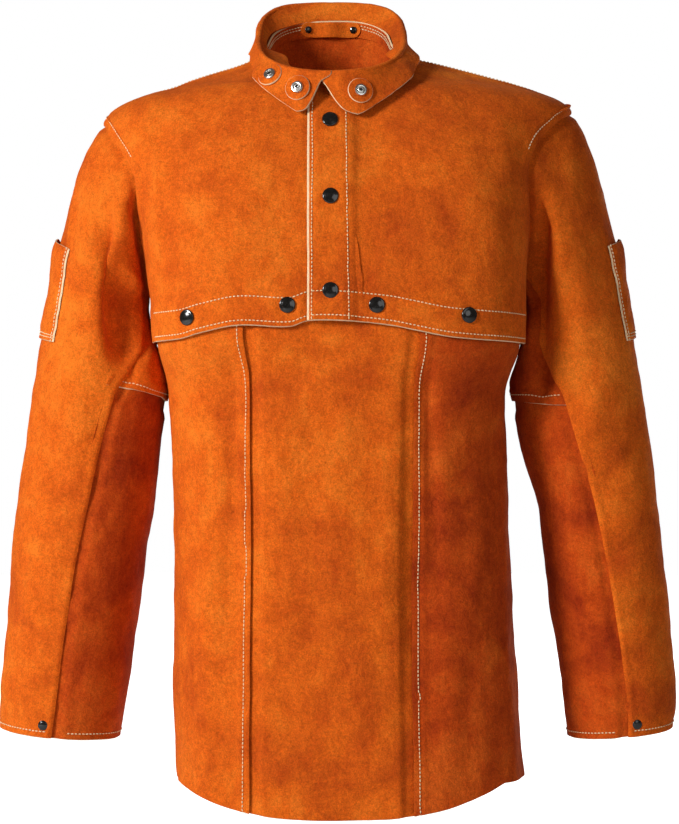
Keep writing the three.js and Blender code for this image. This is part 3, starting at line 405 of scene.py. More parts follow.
def reading(table, column, at):
    """The value of one column at a place between the rows, on a smooth curve through them."""
    xs = np.array(table["at"], float)
    ys = np.array(table[column], float)
    at = np.asarray(at, float)
    slopes = np.empty(len(xs))
    slopes[1:-1] = (ys[2:] - ys[:-2]) / (xs[2:] - xs[:-2])
    slopes[0] = (ys[1] - ys[0]) / (xs[1] - xs[0])
    slopes[-1] = (ys[-1] - ys[-2]) / (xs[-1] - xs[-2])
    row = np.clip(np.searchsorted(xs, at, side="left") - 1, 0, len(xs) - 2)
    span = xs[row + 1] - xs[row]
    t = np.clip((at - xs[row]) / span, 0, 1)
    beyond = at - (xs[row] + t * span)
    level = (2 * t**3 - 3 * t**2 + 1) * ys[row] + (3 * t**2 - 2 * t**3) * ys[row + 1]
    leaning = (t**3 - 2 * t**2 + t) * slopes[row] + (t**3 - t**2) * slopes[row + 1]
    return level + span * leaning + beyond * np.where(t < 0.5, slopes[row], slopes[row + 1])


def dent_depth(dents, turn, at):
    depth = 0.0
    for row in range(len(dents["turn"])):
        across = (turn - dents["turn"][row]) / dents["turn_spread"][row]
        along = (at - dents["at"][row]) / dents["at_spread"][row]
        depth = depth + dents["depth"][row] * np.exp(-across * across - along * along)
    return depth


def outline_radius(angle, half_width, depth, squareness):
    across = np.abs(np.sin(angle)) / half_width
    along = np.abs(np.cos(angle)) / depth
    return (across**squareness + along**squareness) ** (-1 / squareness)


# Surfaces. Each has its point, the steps for its slopes, and the sign that turns its normal outwards.

Surface = namedtuple("Surface", "point step_a step_b outward")


def torso_size(z, right_side, front):
    at = -z / YOKE_DROP
    columns = ("right", "left", "front", "back", "square_front", "square_back")
    right, left, near, far, near_square, far_square = (reading(TORSO_SECTIONS, name, at) for name in columns)
    half = np.where(right_side, right, left) * CHEST_HALF_WIDTH
    depth = np.where(front, near * CHEST_FRONT, far * CHEST_BACK)
    return half, depth, np.where(front, near_square, far_square)


def paired(a, b):
    """Both as arrays of numbers of one shape."""
    return np.broadcast_arrays(np.asarray(a, float), np.asarray(b, float))


def away_from_axis(angle):
    return np.stack([np.sin(angle), -np.cos(angle), np.zeros_like(angle)], -1)


def signed_turn(angle):
    return np.arctan2(np.sin(angle), np.cos(angle))


def on_outline(angle, radius, z):
    return np.stack(np.broadcast_arrays(radius * np.sin(angle), -radius * np.cos(angle), z), -1)


def torso_point(angle, z):
    angle, z = paired(angle, z)
    size = torso_size(z, np.sin(angle) > 0, np.cos(angle) > 0)
    dent = SIDE_TUCK * dent_depth(TORSO_DENTS, signed_turn(angle), -z / YOKE_DROP)
    return on_outline(angle, outline_radius(angle, *size) - dent, z)


torso = Surface(torso_point, 0.006, 0.5, 1)


def hem_height(angle):
    x = torso_point(angle, -YOKE_DROP)[..., 0]
    side = np.clip(x / CHEST_HALF_WIDTH, HEM_SHAPE["at"][0], HEM_SHAPE["at"][-1])
    rise = HEM_RISE * reading(HEM_SHAPE, "rise", side)
    return -YOKE_DROP + np.where(np.cos(angle) > 0, rise, 0)


def bib_size(z, right_side):
    at = (-z - BIB_TOP_DROP) / BIB_LENGTH
    half = np.where(right_side, reading(BIB_SECTIONS, "right", at), reading(BIB_SECTIONS, "left", at))
    depth = reading(BIB_SECTIONS, "front", at) * BIB_FRONT
    return half * BIB_HALF_WIDTH, depth, reading(BIB_SECTIONS, "square", at)


def bib_point(angle, z):
    angle, z = paired(angle, z)
    at = (-z - BIB_TOP_DROP) / BIB_LENGTH
    dent = BIB_FRONT * dent_depth(BIB_DENTS, angle, at)
    hanging = on_outline(angle, outline_radius(angle, *bib_size(z, angle > 0)) - dent, z)
    settled = ease((hem_height(angle) - z) / BIB_SETTLES)[..., None]
    return mix(torso_point(angle, z), hanging, settled)


bib = Surface(bib_point, 0.006, 0.5, 1)


def torso_angle_at_y(side, z, y):
    half, depth, square = torso_size(z, side > 0, y <= 0)
    share = np.minimum(np.abs(y) / depth, 1)
    x = half * (1 - share**square) ** (1 / square)
    return np.arctan2(side * x, -y)


def front_angle_at_x(size, x):
    half, depth, square = size
    share = np.minimum(np.abs(x) / half, 1)
    return np.arctan2(x, depth * (1 - share**square) ** (1 / square))


def torso_angle_at_x(x, z):
    return front_angle_at_x(torso_size(z, x > 0, True), x)


def bib_angle_at_x(x, z):
    return front_angle_at_x(bib_size(z, x > 0), x)


def armhole_place(side, quarter):
    z = -mix(ARMHOLE_TOP[side], ARMHOLE_FOOT, reading(ARMHOLE, "drop", quarter))
    y = -ARMHOLE_HALF_DEPTH * reading(ARMHOLE, "forward", quarter)
    return torso_angle_at_y(side, z, y), z


def sleeve_surface(side):
    column_end = "right" if side > 0 else "left"

    def head_lean(out, fall, quarters):
        """The direction in which the sleeve's head leaves the armhole or comes to the tube."""
        across, down = reading(SLEEVE_HEAD, out, quarters), reading(SLEEVE_HEAD, fall, quarters)
        return np.stack([side * across, np.zeros_like(across), -down], -1) * HEAD_REACH

    def point(quarter, v):
        quarter, v = paired(quarter, v)
        quarters = quarter % 4
        turn = quarters * (math.pi / 2)
        down = np.maximum(v - 1, 0)
        half = reading(SLEEVE_SECTIONS, "half_" + column_end, down)
        centre = reading(SLEEVE_SECTIONS, "centre_" + column_end, down) * ARM_SPREAD
        cuff = CUFF_SLANT * np.cos(turn) * ease((down - 0.6) / 0.4)
        across = side * (centre + half * SLEEVE_HALF_WIDTH * np.cos(turn))
        forward = -half * SLEEVE_HALF_DEPTH * np.sin(turn)
        tube = np.stack([across, forward, -SLEEVE_HEAD_DROP - down * SLEEVE_LENGTH + cuff], -1)
        start = torso_point(*armhole_place(side, quarters))
        t = np.minimum(v, 1)[..., None]
        head = tube * (3 * t**2 - 2 * t**3) + start * (2 * t**3 - 3 * t**2 + 1)
        head += head_lean("out", "fall", quarters) * (t**3 - 2 * t**2 + t)
        head += head_lean("lean", "settle", quarters) * (t**3 - t**2)
        dent = SLEEVE_HALF_DEPTH * dent_depth(SLEEVE_DENTS, quarters, v) * ease(v / 0.25)
        inward = np.stack([-side * np.cos(turn), np.sin(turn), np.zeros_like(turn)], -1)
        return np.where(v[..., None] < 1, head, tube) + inward * dent[..., None]

    return Surface(point, 0.006, 0.005, side)


def neck_centre_height(front):
    """The height where the neck seam crosses the centre of the front or back, by halving."""
    tilt = NECK_TILT_FRONT if front else NECK_TILT_BACK
    near, far = 0.0, float(CHEST_FRONT if front else CHEST_BACK)
    for _ in range(40):
        y = (near + far) / 2
        z = NECK_LEVEL + (-y if front else y) * tilt
        if torso_size(z, True, front)[1] > y:
            near = y
        else:
            far = y
    return NECK_LEVEL + (-near if front else near) * tilt


NECK_FRONT_HEIGHT = neck_centre_height(True)
NECK_BACK_HEIGHT = neck_centre_height(False)


def neck_angle(side, z):
    tilt = NECK_TILT_FRONT if z < NECK_LEVEL else NECK_TILT_BACK
    return torso_angle_at_y(side, z, (z - NECK_LEVEL) / tilt)


def angle_from_neck(turn, z):
    """The torso's own angle for a direction seen from the neck's centre."""
    angle = np.array(turn, float)
    for _ in range(12):
        point = torso_point(angle, z)
        angle = angle + signed_turn(turn - np.arctan2(point[..., 0] - COLLAR_CENTRE, -point[..., 1]))
    return angle


def neck_height_at(turn):
    tilt = np.where(np.cos(turn) > 0, NECK_TILT_FRONT, NECK_TILT_BACK)
    z = np.full_like(turn, NECK_LEVEL)
    for _ in range(30):
        z = mix(z, NECK_LEVEL + tilt * torso_point(angle_from_neck(turn, z), z)[..., 1], 0.5)
    return z


def normal_on(surface, a, b):
    along_a = surface.point(a + surface.step_a, b) - surface.point(a - surface.step_a, b)
    along_b = surface.point(a, b + surface.step_b) - surface.point(a, b - surface.step_b)
    normal = np.cross(along_a, along_b)
    return surface.outward * normal / np.maximum(np.linalg.norm(normal, axis=-1, keepdims=True), 1e-9)


# The collar's rings are worked out once, at even turns, and read between them.


def make_collar_rings():
    seam = neck_height_at(RING_TURNS) + STAND_RISE
    foot = torso_point(angle_from_neck(RING_TURNS, seam), seam)
    depth = np.where(np.cos(RING_TURNS) > 0, RIM_FRONT, RIM_BACK)
    squareness = np.where(np.cos(RING_TURNS) > 0, COLLAR_SQUARENESS, COLLAR_BACK_SQUARENESS)
    radius = outline_radius(RING_TURNS, RIM_HALF_WIDTH, depth, squareness)
    y = -radius * np.cos(RING_TURNS)
    tilt = np.where(y < 0, RIM_TILT_FRONT, RIM_TILT_BACK)
    rim = np.stack([COLLAR_CENTRE + radius * np.sin(RING_TURNS), y, RIM_LEVEL + tilt * y], -1)
    away = np.abs(signed_turn(RING_TURNS))
    z = LEAF_DROP * reading(LEAF_EDGE, "height", away)
    z += RIGHT_LEAF_LIFT * np.exp(-(((RING_TURNS - 1.4) / 0.4) ** 2))
    angle = angle_from_neck(RING_TURNS, z)
    leaf = torso_point(angle, z) + LEAF_STANDOFF * normal_on(torso, angle, z)
    flare = reading(LEAF_EDGE, "flare", away)[:, None]
    return {"foot": foot, "rim": rim, "leaf": leaf, "flare": flare}


collar_rings = make_collar_rings()


def ring_at(name, angle):
    values = collar_rings[name]
    return np.stack([np.interp(angle, RING_TURNS, values[:, k]) for k in range(values.shape[1])], -1)


def collar_point(angle, b):
    """From the foot of the stand (b 0) up over the fold and down to the leaf's edge (b 1)."""
    angle, b = paired(angle, b)
    foot, leaf, flare = ring_at("foot", angle), ring_at("leaf", angle), ring_at("flare", angle)
    outward = away_from_axis(angle)
    up = np.array([0.0, 0.0, 1.0])
    centre = ring_at("rim", angle) - FOLD_RADIUS * up
    inside = centre - FOLD_RADIUS * outward
    outside = centre + FOLD_RADIUS * outward
    stand = mix(foot, inside, (np.minimum(b, STAND_END) / STAND_END)[..., None])
    turn = (math.pi * (1 - (b - STAND_END) / (FOLD_END - STAND_END)))[..., None]
    fold = centre + FOLD_RADIUS * (outward * np.cos(turn) + up * np.sin(turn))
    down = np.clip((b - FOLD_END) / (1 - FOLD_END), 0, 1.1)[..., None]
    bend = mix(outside, leaf, flare)
    bend[..., 2] = mix(outside[..., 2], leaf[..., 2], 0.5)
    hanging = outside * (1 - down) ** 2 + bend * 2 * down * (1 - down) + leaf * down**2
    side = b[..., None]
    return np.where(side < STAND_END, stand, np.where(side < FOLD_END, fold, hanging))


collar = Surface(collar_point, 0.02, 0.005, -1)
sleeve_left = sleeve_surface(-1)
sleeve_right = sleeve_surface(1)


# Grids of places for the panels

Grid = namedtuple("Grid", "points normals")


def grid_on(surface, a, b):
    return Grid(surface.point(a, b), normal_on(surface, a, b))


def grown(count, low=0.0, high=1.0):
    return np.linspace(low, high, count)


def front_grid(side, columns=112):
    """A front panel, in rows down the neck, past the opening's top, down the armhole and to the hem."""
    edge = FRONT_EDGE_LEFT if side > 0 else UNDERLAP_EDGE
    rows = []
    for z in grown(18, NECK_LEVEL - 1, NECK_FRONT_HEIGHT + 0.5):
        rows.append((z, neck_angle(side, z), side * math.pi / 2))
    for z in grown(9, NECK_FRONT_HEIGHT - 1, 1.5 - ARMHOLE_TOP[side]):
        rows.append((z, torso_angle_at_x(edge, z), side * math.pi / 2))
    for quarter in grown(66, 0, 2):
        angle, z = armhole_place(side, quarter)
        rows.append((z, torso_angle_at_x(edge, z), angle))
    for z in grown(22, -ARMHOLE_FOOT, -YOKE_DROP)[1:]:
        rows.append((z, torso_angle_at_x(edge, z), side * math.pi / 2))
    z, start, end = (np.array(column, float)[:, None] for column in zip(*rows))
    angle = mix(start, end, grown(columns)[None, :])
    weight = ease((-z - 0.6 * YOKE_DROP) / (0.4 * YOKE_DROP - FACING_HEIGHT))
    return grid_on(torso, angle, z + weight * (hem_height(angle) + YOKE_DROP))


def back_grid(columns=200):
    tuck = UNDERLAP / CHEST_HALF_WIDTH
    rows = []
    for z in grown(22, NECK_BACK_HEIGHT - 0.5, NECK_LEVEL + 1):
        rows.append((z, neck_angle(1, z), neck_angle(-1, z)))
    sides = {side: armhole_place(side, 4 - grown(200, 0, 2)) for side in (1, -1)}
    for z in grown(96, NECK_LEVEL, -YOKE_DROP):
        ends = []
        for side in (1, -1):
            angles, heights = sides[side]
            beyond = not heights[0] > z > heights[-1]
            ends.append(side * (math.pi / 2 - tuck) if beyond else np.interp(-z, -heights, angles))
        rows.append((z, *ends))
    z, start, end = (np.array(column, float)[:, None] for column in zip(*rows))
    return grid_on(torso, mix(start, 2 * math.pi + end, grown(columns)[None, :]), z)


def underarm_shift(side, quarters, v):
    """How far the underarm's lap moves up the sleeve, most at the front seam."""
    front = reading(SLEEVE_SEAM, "front", 1.0)
    return UNDERARM_SLANT[side] * (1 - ease((quarters - front) / 0.8)) * ease((v - 0.5) / 0.5)


def sleeve_grid(surface, side, v, columns, over, under_yoke):
    """The sleeve's top (over) or its under side, between its long seams, with its border under the yoke."""
    front = reading(SLEEVE_SEAM, "front", np.clip(v, 0, 2))[:, None]
    tuck = 0 if over else UNDERLAP / (SLEEVE_HALF_WIDTH * math.pi / 2)
    low, high = (-front, front) if over else (front - tuck, 4 - front + tuck)
    quarters = mix(low, high, grown(columns)[None, :])
    along = np.asarray(v, float)[:, None]
    if under_yoke and not over:
        along = along - underarm_shift(side, quarters, along)
    grid = grid_on(surface, quarters, along)
    if not under_yoke:
        return grid
    hidden = grown(7, 1, 0.08)[:, None, None] * UNDERLAP
    start, outwards = armhole_border(side, quarters[0])
    points = start + outwards * hidden
    normals = np.broadcast_to(normal_on(torso, *armhole_place(side, quarters[0] % 4)), points.shape)
    return Grid(np.concatenate([points, grid.points]), np.concatenate([normals, grid.normals]))


def armhole_border(side, quarters):
    """Places on the armhole's edge, with the direction from each on to the yoke."""
    angle, z = armhole_place(side, quarters % 4)
    start, normal = torso_point(angle, z), normal_on(torso, angle, z)
    ring_angle, ring_z = armhole_place(side, grown(40, 0, 3.9))
    away = start - torso_point(ring_angle, ring_z).mean(0)
    return start, unit(away - normal * (away * normal).sum(-1, keepdims=True))


def beside_armhole(side, quarters, distance):
    start, outwards = armhole_border(side, quarters)
    return start + outwards * distance


def bib_grid(from_at, to_at, columns, rows=170):
    at = grown(rows)[:, None]
    z = -BIB_TOP_DROP - at * BIB_LENGTH
    angle = mix(from_at(z), to_at(z), grown(columns)[None, :])
    across = np.minimum(np.abs(bib_point(angle, z)[..., 0]) / BIB_HALF_WIDTH, 1)
    wrapped = np.where(np.abs(angle) > 1.2, 1, across)
    return grid_on(bib, angle, z + BIB_HEM_RISE * at * at * wrapped**2.6)


def bib_seam(x, shift=0.0):
    return lambda z: bib_angle_at_x(np.full_like(z, x), z) + shift / BIB_FRONT


def collar_grid(columns=300):
    parts = [grown(22, -0.16, STAND_END)[:-1], grown(12, STAND_END, FOLD_END)[:-1], grown(40, FOLD_END, 1)]
    b = np.concatenate(parts)
    right = reading(FLAP_ENDS, "right", b)[:, None]
    left = 2 * math.pi + reading(FLAP_ENDS, "left", b)[:, None]
    angle = mix(right, left, grown(columns)[None, :])
    grid = grid_on(collar, angle, np.repeat(b[:, None], columns, 1))
    tucked = -1.9 * (1 - ease((angle - right) / 0.2)) * ease((FOLD_END + 0.5 - b[:, None]) / 0.3)
    outward = away_from_axis(angle)
    return Grid(grid.points + outward * tucked[..., None], grid.normals)


def pocket_grid(side, columns=56, rows=60):
    surface = sleeve_right if side > 0 else sleeve_left
    v = grown(400, 0, 1.2)
    drops = -surface.point(np.zeros_like(v), v)[:, 2]
    down = np.interp(POCKET_TOP_DROP + grown(rows) * POCKET_LENGTH, drops, v)
    quarters = mix(-POCKET_BACK_TURN, POCKET_FRONT_TURN[side], grown(columns)) / (math.pi / 2)
    return grid_on(surface, quarters[None, :], down[:, None])


# Relief: laps, presses of the thread and of the snaps, folds and the leather's own unevenness


def distance_to(points, path):
    """The distance from each place to a line of places."""
    flat = points.reshape(-1, 3)
    nearest = np.full(len(flat), 1e9)
    for start, end in zip(path[:-1], path[1:]):
        along = end - start
        share = np.clip(((flat - start) @ along) / max(along @ along, 1e-9), 0, 1)
        nearest = np.minimum(nearest, np.linalg.norm(flat - start - share[:, None] * along, axis=1))
    return nearest.reshape(points.shape[:-1])


def lapped(points, edge):
    """A raised border along an edge, rounded over at the very edge."""
    away = distance_to(points, edge)
    return LAP_LIFT * (1 - ease((away - LAP_WIDTH) / 5)) - 0.45 * (1 - ease(away / 2.2))


def tucked_under(points, edge, width=4.0):
    """The drop of a panel where another laps it."""
    return -UNDER_DROP * (1 - ease((distance_to(points, edge) - width) / 9))


def pressed(points, line):
    """The groove that a row of thread draws, with a faint swell on both sides."""
    away = distance_to(points, line)
    return -0.45 * np.exp(-((away / 1.7) ** 2)) + 0.2 * np.exp(-(((away - 4.5) / 2.5) ** 2))


def dimple(points, centre, radius, depth=0.7):
    """The hollow round a snap, with a faint swell about it."""
    away = np.linalg.norm(points - centre, axis=-1) / radius
    return -depth * np.exp(-((away / 1.15) ** 4)) + 0.35 * np.exp(-(((away - 1.9) / 0.5) ** 2))


def folds(points, table):
    """Long soft ridges and hollows, each along a line seen from the front, that fade at both ends."""
    x, z = points[..., 0], points[..., 2]
    depth = np.zeros(x.shape)
    for from_x, from_z, to_x, to_z, width, height in table:
        along = np.array([to_x - from_x, to_z - from_z])
        length = np.hypot(*along)
        share = ((x - from_x) * along[0] + (z - from_z) * along[1]) / length**2
        off = ((x - from_x) * along[1] - (z - from_z) * along[0]) / length
        fade = ease((share + 0.15) / 0.3) * ease((1.15 - share) / 0.3)
        depth += height * fade * np.exp(-((off / width) ** 2))
    return depth


def uneven(points, size, height, seed):
    """Gentle swells of the hide, size millimetres across."""
    flat = (points / size + seed * 17.3).reshape(-1, 3)
    values = [noise.fractal(Vector(p), 1.0, 2.1, 3) for p in flat]
    return height * np.array(values).reshape(points.shape[:-1])


# Meshes


def facing_normals(points, hint):
    """The normals of a grid of places, on the same side as the hint, which stands in where rows meet."""
    across = np.gradient(points, axis=1)
    along = np.gradient(points, axis=0)
    normal = np.cross(across, along)
    length = np.linalg.norm(normal, axis=-1, keepdims=True)
    normal = normal / np.maximum(length, 1e-9)
    normal = normal * np.sign((normal * hint).sum(-1, keepdims=True))
    return np.where(length > 1e-3, normal, hint)


def wall_faces(rows, columns):
    """The faces of a wall between two grids: outside, inside and the four rims."""
    index = np.arange(2 * rows * columns).reshape(2, rows, columns)
    front, back = index
    faces = [
        np.stack([front[:-1, :-1], front[1:, :-1], front[1:, 1:], front[:-1, 1:]], -1).reshape(-1, 4),
        np.stack([back[:-1, :-1], back[:-1, 1:], back[1:, 1:], back[1:, :-1]], -1).reshape(-1, 4),
    ]
    rims = [
        (front[0], back[0], True),
        (front[-1], back[-1], False),
        (front[:, 0], back[:, 0], False),
        (front[:, -1], back[:, -1], True),
    ]
    for outer, inner, turned in rims:
        corners = [outer[:-1], outer[1:], inner[1:], inner[:-1]]
        faces.append(np.stack(corners if turned else corners[::-1], -1))
    return faces


def mesh_from(name, vertices, faces, materials, material_of, sharp=50):
    mesh = bpy.data.meshes.new(name)
    mesh.from_pydata((np.asarray(vertices) * MILLIMETRE).tolist(), [], [list(map(int, f)) for f in faces])
    mesh.polygons.foreach_set("material_index", np.asarray(material_of, np.int32))
    mesh.polygons.foreach_set("use_smooth", np.ones(len(faces), bool))
    for material in materials:
        mesh.materials.append(material)
    mesh.update()
    mesh.set_sharp_from_angle(angle=math.radians(sharp))
    obj = bpy.data.objects.new(name, mesh)
    bpy.context.scene.collection.objects.link(obj)
    return obj


def outward_faces(vertices, faces):
    """The faces, turned as a whole so that they enclose a positive volume."""
    a, b, c, d = (vertices[faces[:, k]] for k in range(4))
    volume = (np.cross(a, b) * c).sum() + (np.cross(a, c) * d).sum()
    return faces if volume > 0 else faces[:, ::-1]


Sewn = namedtuple("Sewn", "object surface")


def leather_panel(
    name, grid, relief, nodes, cut=(1, 1, 1, 1), slant=(0, 0, 0, 0), thickness=LEATHER, face=BODY_FACE
):
    """A closed leather wall. Cut says which rims show a pale cut edge and slant how far each leans out:
    first row, last row, first column, last column. Every inside takes the darker copy of the suede, painted
    shade for the inside of the cape."""
    outer = grid.points + grid.normals * relief[..., None]
    normals = facing_normals(outer, grid.normals)
    inner = outer - normals * thickness
    inner[0] += unit(inner[0] - inner[1]) * slant[0]
    inner[-1] += unit(inner[-1] - inner[-2]) * slant[1]
    inner[:, 0] += unit(inner[:, 0] - inner[:, 1]) * slant[2]
    inner[:, -1] += unit(inner[:, -1] - inner[:, -2]) * slant[3]
    rows, columns = relief.shape
    vertices = np.concatenate([outer.reshape(-1, 3), inner.reshape(-1, 3)])
    parts = wall_faces(rows, columns)
    # The inside faces take the darker suede: painted shade inside the cape
    marks = [face, PAINTED_SHADE_FACE] + [CUT_FACE if side else face for side in cut]
    faces = outward_faces(vertices, np.concatenate(parts))
    material_of = np.repeat(marks, [len(part) for part in parts])
    obj = mesh_from(name, vertices, faces, [suede, cut_edge, painted_shade_suede], material_of)
    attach(obj, "root")
    if nodes:
        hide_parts(*nodes)
    skin = BVHTree.FromPolygons(vertices[: rows * columns].tolist(), faces[: len(parts[0])].tolist())
    return Sewn(obj, skin)


def unit(vectors):
    return vectors / np.maximum(np.linalg.norm(vectors, axis=-1, keepdims=True), 1e-9)


# Finishes


def node_tree(kind, name, inputs, outputs):
    tree = bpy.data.node_groups.new(name, kind)
    for side, sockets in (("INPUT", inputs), ("OUTPUT", outputs)):
        for label, socket_type, value in sockets:
            socket = tree.interface.new_socket(label, in_out=side, socket_type=socket_type)
            if value is not None:
                socket.default_value = value
    return tree, tree.nodes.new("NodeGroupInput"), tree.nodes.new("NodeGroupOutput")


def set_inputs(node, values):
    for name, value in values.items():
        node.inputs[name].default_value = value


def add_node(tree, kind, settings=None, values=None):
    node = tree.nodes.new(kind)
    for name, value in (settings or {}).items():
        setattr(node, name, value)
    set_inputs(node, values or {})
    return node


def linked(tree, *pairs):
    for source, target in pairs:
        tree.links.new(source, target)


def scaled(tree, vector, scale):
    """The place, stretched by one factor for each axis."""
    node = add_node(tree, "ShaderNodeVectorMath", {"operation": "MULTIPLY"}, {1: scale})
    tree.links.new(vector, node.inputs[0])
    return node.outputs[0]


def noise_at(tree, vector, scale, detail, roughness, distortion=0.0):
    values = {"Scale": scale, "Detail": detail, "Roughness": roughness, "Distortion": distortion}
    node = add_node(tree, "ShaderNodeTexNoise", None, values)
    tree.links.new(vector, node.inputs["Vector"])
    return node.outputs["Fac"]


def spread(tree, value, low, high, to_low=0.0, to_high=1.0):
    values = {"From Min": low, "From Max": high, "To Min": to_low, "To Max": to_high}
    node = add_node(tree, "ShaderNodeMapRange", None, values)
    tree.links.new(value, node.inputs["Value"])
    return node.outputs["Result"]


def fill_inputs(tree, node, values):
    """Each input takes a constant or the value of a socket."""
    for key, value in values.items():
        if isinstance(value, (int, float, tuple)):
            node.inputs[key].default_value = value
        else:
            tree.links.new(value, node.inputs[key])


def arithmetic(tree, operation, first, second):
    node = add_node(tree, "ShaderNodeMath", {"operation": operation})
    fill_inputs(tree, node, {0: first, 1: second})
    return node.outputs[0]


def colour_mix(tree, factor, first, second):
    node = add_node(tree, "ShaderNodeMix", {"data_type": "RGBA"})
    fill_inputs(tree, node, {0: factor, 6: first, 7: second})
    return node.outputs[2]


def bumped(tree, height, distance, strength, normal=None):
    node = add_node(tree, "ShaderNodeBump", None, {"Strength": strength, "Distance": distance})
    tree.links.new(height, node.inputs["Height"])
    if normal is not None:
        tree.links.new(normal, node.inputs["Normal"])
    return node.outputs["Normal"]


def make_nap_group():
    """Napped split leather: cloudy tones, brushed strokes, fine nap and pores."""
    inputs = [
        ("Place", "NodeSocketVector", None),
        ("Deep Tone", "NodeSocketColor", (0.3, 0.05, 0.005, 1)),
        ("Body Tone", "NodeSocketColor", (0.6, 0.15, 0.02, 1)),
        ("Bright Tone", "NodeSocketColor", (0.8, 0.25, 0.04, 1)),
        ("Cloud Size", "NodeSocketFloat", 1.0),
    ]
    outputs = [
        ("Tone", "NodeSocketColor", None),
        ("Roughness", "NodeSocketFloat", None),
        ("Normal", "NodeSocketVector", None),
    ]
    tree, given, result = node_tree("ShaderNodeTree", "napped split", inputs, outputs)
    place = given.outputs["Place"]
    sized = add_node(tree, "ShaderNodeVectorMath", {"operation": "SCALE"})
    linked(tree, (place, sized.inputs[0]), (given.outputs["Cloud Size"], sized.inputs["Scale"]))
    clouds = spread(tree, noise_at(tree, sized.outputs[0], 11, 5, 0.6, 0.6), 0.32, 0.68)
    blots = spread(tree, noise_at(tree, sized.outputs[0], 42, 6, 0.62, 0.3), 0.3, 0.7)
    strokes = spread(tree, noise_at(tree, scaled(tree, place, (150, 150, 42)), 1, 4, 0.6), 0.3, 0.7)
    nap = noise_at(tree, place, 700, 4, 0.75)
    pores = noise_at(tree, place, 260, 4, 0.7)
    cloudy = arithmetic(tree, "MULTIPLY", clouds, 0.55)
    for layer, weight in ((blots, 0.3), (strokes, 0.15)):
        cloudy = arithmetic(tree, "ADD", cloudy, arithmetic(tree, "MULTIPLY", layer, weight))
    tone = given.outputs["Deep Tone"]
    for low, high, label in ((0.08, 0.5, "Body Tone"), (0.5, 0.95, "Bright Tone")):
        tone = colour_mix(tree, spread(tree, cloudy, low, high), tone, given.outputs[label])
    speckle = add_node(tree, "ShaderNodeHueSaturation")
    light_nap = spread(tree, nap, 0.3, 0.7, -0.34, 0.34)
    lightness = arithmetic(tree, "ADD", light_nap, spread(tree, pores, 0.3, 0.7, 0.82, 1.18))
    linked(tree, (tone, speckle.inputs["Color"]), (lightness, speckle.inputs["Value"]))
    fibres = bumped(tree, nap, 0.0008, 0.6)
    grainy = bumped(tree, pores, 0.0014, 0.45, fibres)
    rumpled = bumped(tree, blots, 0.003, 0.25, grainy)
    roughness = spread(tree, blots, 0, 1, 0.98, 0.84)
    linked(
        tree,
        (speckle.outputs["Color"], result.inputs["Tone"]),
        (roughness, result.inputs["Roughness"]),
        (rumpled, result.inputs["Normal"]),
    )
    return tree


def new_finish(name):
    material = bpy.data.materials.new(name)
    material.use_nodes = True
    tree = material.node_tree
    shader = tree.nodes["Principled BSDF"]
    coordinates = tree.nodes.new("ShaderNodeTexCoord")
    return material, tree, shader, coordinates.outputs["Object"]


def leather_finish(name, tones, cloud_size):
    material, tree, shader, place = new_finish(name)
    group = add_node(tree, "ShaderNodeGroup", {"node_tree": nap_group})
    labels = ("Deep Tone", "Body Tone", "Bright Tone")
    set_inputs(group, {**dict(zip(labels, tones)), "Cloud Size": cloud_size})
    linked(tree, (place, group.inputs["Place"]))
    for made, label in (("Tone", "Base Color"), ("Roughness", "Roughness"), ("Normal", "Normal")):
        linked(tree, (group.outputs[made], shader.inputs[label]))
    set_inputs(shader, {"Sheen Weight": 0.12, "Sheen Roughness": 0.45, "Sheen Tint": SHEEN_TONE})
    set_inputs(shader, {"Specular IOR Level": 0.1})
    return material


def fibre_finish(name, tones, scale, depth):
    """Cut edges and thread: fine pale fibres."""
    material, tree, shader, place = new_finish(name)
    fibre = noise_at(tree, place, scale, 4, 0.65)
    soiling = noise_at(tree, place, 90, 4, 0.6)
    clean = spread(tree, soiling, 0.25, 0.6, 0.45, 1)
    both = arithmetic(tree, "MULTIPLY", spread(tree, fibre, 0.25, 0.7), clean)
    tone, relief = colour_mix(tree, both, *tones), bumped(tree, fibre, depth, 0.5)
    linked(tree, (tone, shader.inputs["Base Color"]), (relief, shader.inputs["Normal"]))
    set_inputs(shader, {"Roughness": 0.85, "Specular IOR Level": 0.2})
    return material


def metal_finish(name, tones, gloss, metallic, coat):
    """Enamel and plating with faint wear. Gloss is the lowest and highest roughness."""
    material, tree, shader, place = new_finish(name)
    wear = noise_at(tree, place, 420, 5, 0.6)
    smudge = noise_at(tree, place, 120, 4, 0.5)
    tone = colour_mix(tree, spread(tree, wear, 0.45, 0.7), *tones)
    linked(
        tree,
        (tone, shader.inputs["Base Color"]),
        (spread(tree, smudge, 0.3, 0.7, *gloss), shader.inputs["Roughness"]),
        (bumped(tree, smudge, 0.0003, 0.1), shader.inputs["Normal"]),
    )
    set_inputs(shader, {"Metallic": metallic, "Coat Weight": coat, "Coat Roughness": 0.08})
    return material


nap_group = make_nap_group()
suede = leather_finish("napped_leather", SUEDE_TONES, 1.0)
# The same suede in darker, redder tones: painted shade for the insides and for panels on the shadow side
painted_shade_suede = leather_finish("painted_shade_leather", SHADED_SUEDE_TONES, 1.1)
cut_edge = fibre_finish("cut_edge", EDGE_TONES, 1500, 0.0004)
thread = fibre_finish("cream_thread", THREAD_TONES, 2600, 0.0002)
black_enamel = metal_finish("black_enamel", ENAMEL_TONES, (0.1, 0.2), 0.0, 0.25)
bright_steel = metal_finish("bright_steel", BRIGHT_TONES, (0.16, 0.3), 1.0, 0.0)
dark_steel = metal_finish("dark_steel", DARK_TONES, (0.3, 0.45), 0.8, 0.0)

# Sewing

stitch_lines = []


def sew(panel, *paths):
    """Lays a row of thread along each line of places, moved on to the panel's outside."""
    for path in paths:
        placed = []
        for place in path:
            location, normal, _, _ = panel.surface.find_nearest(Vector(place))
            placed.append(np.array(location + normal * THREAD_HEIGHT))
        stitch_lines.append(np.array(placed))


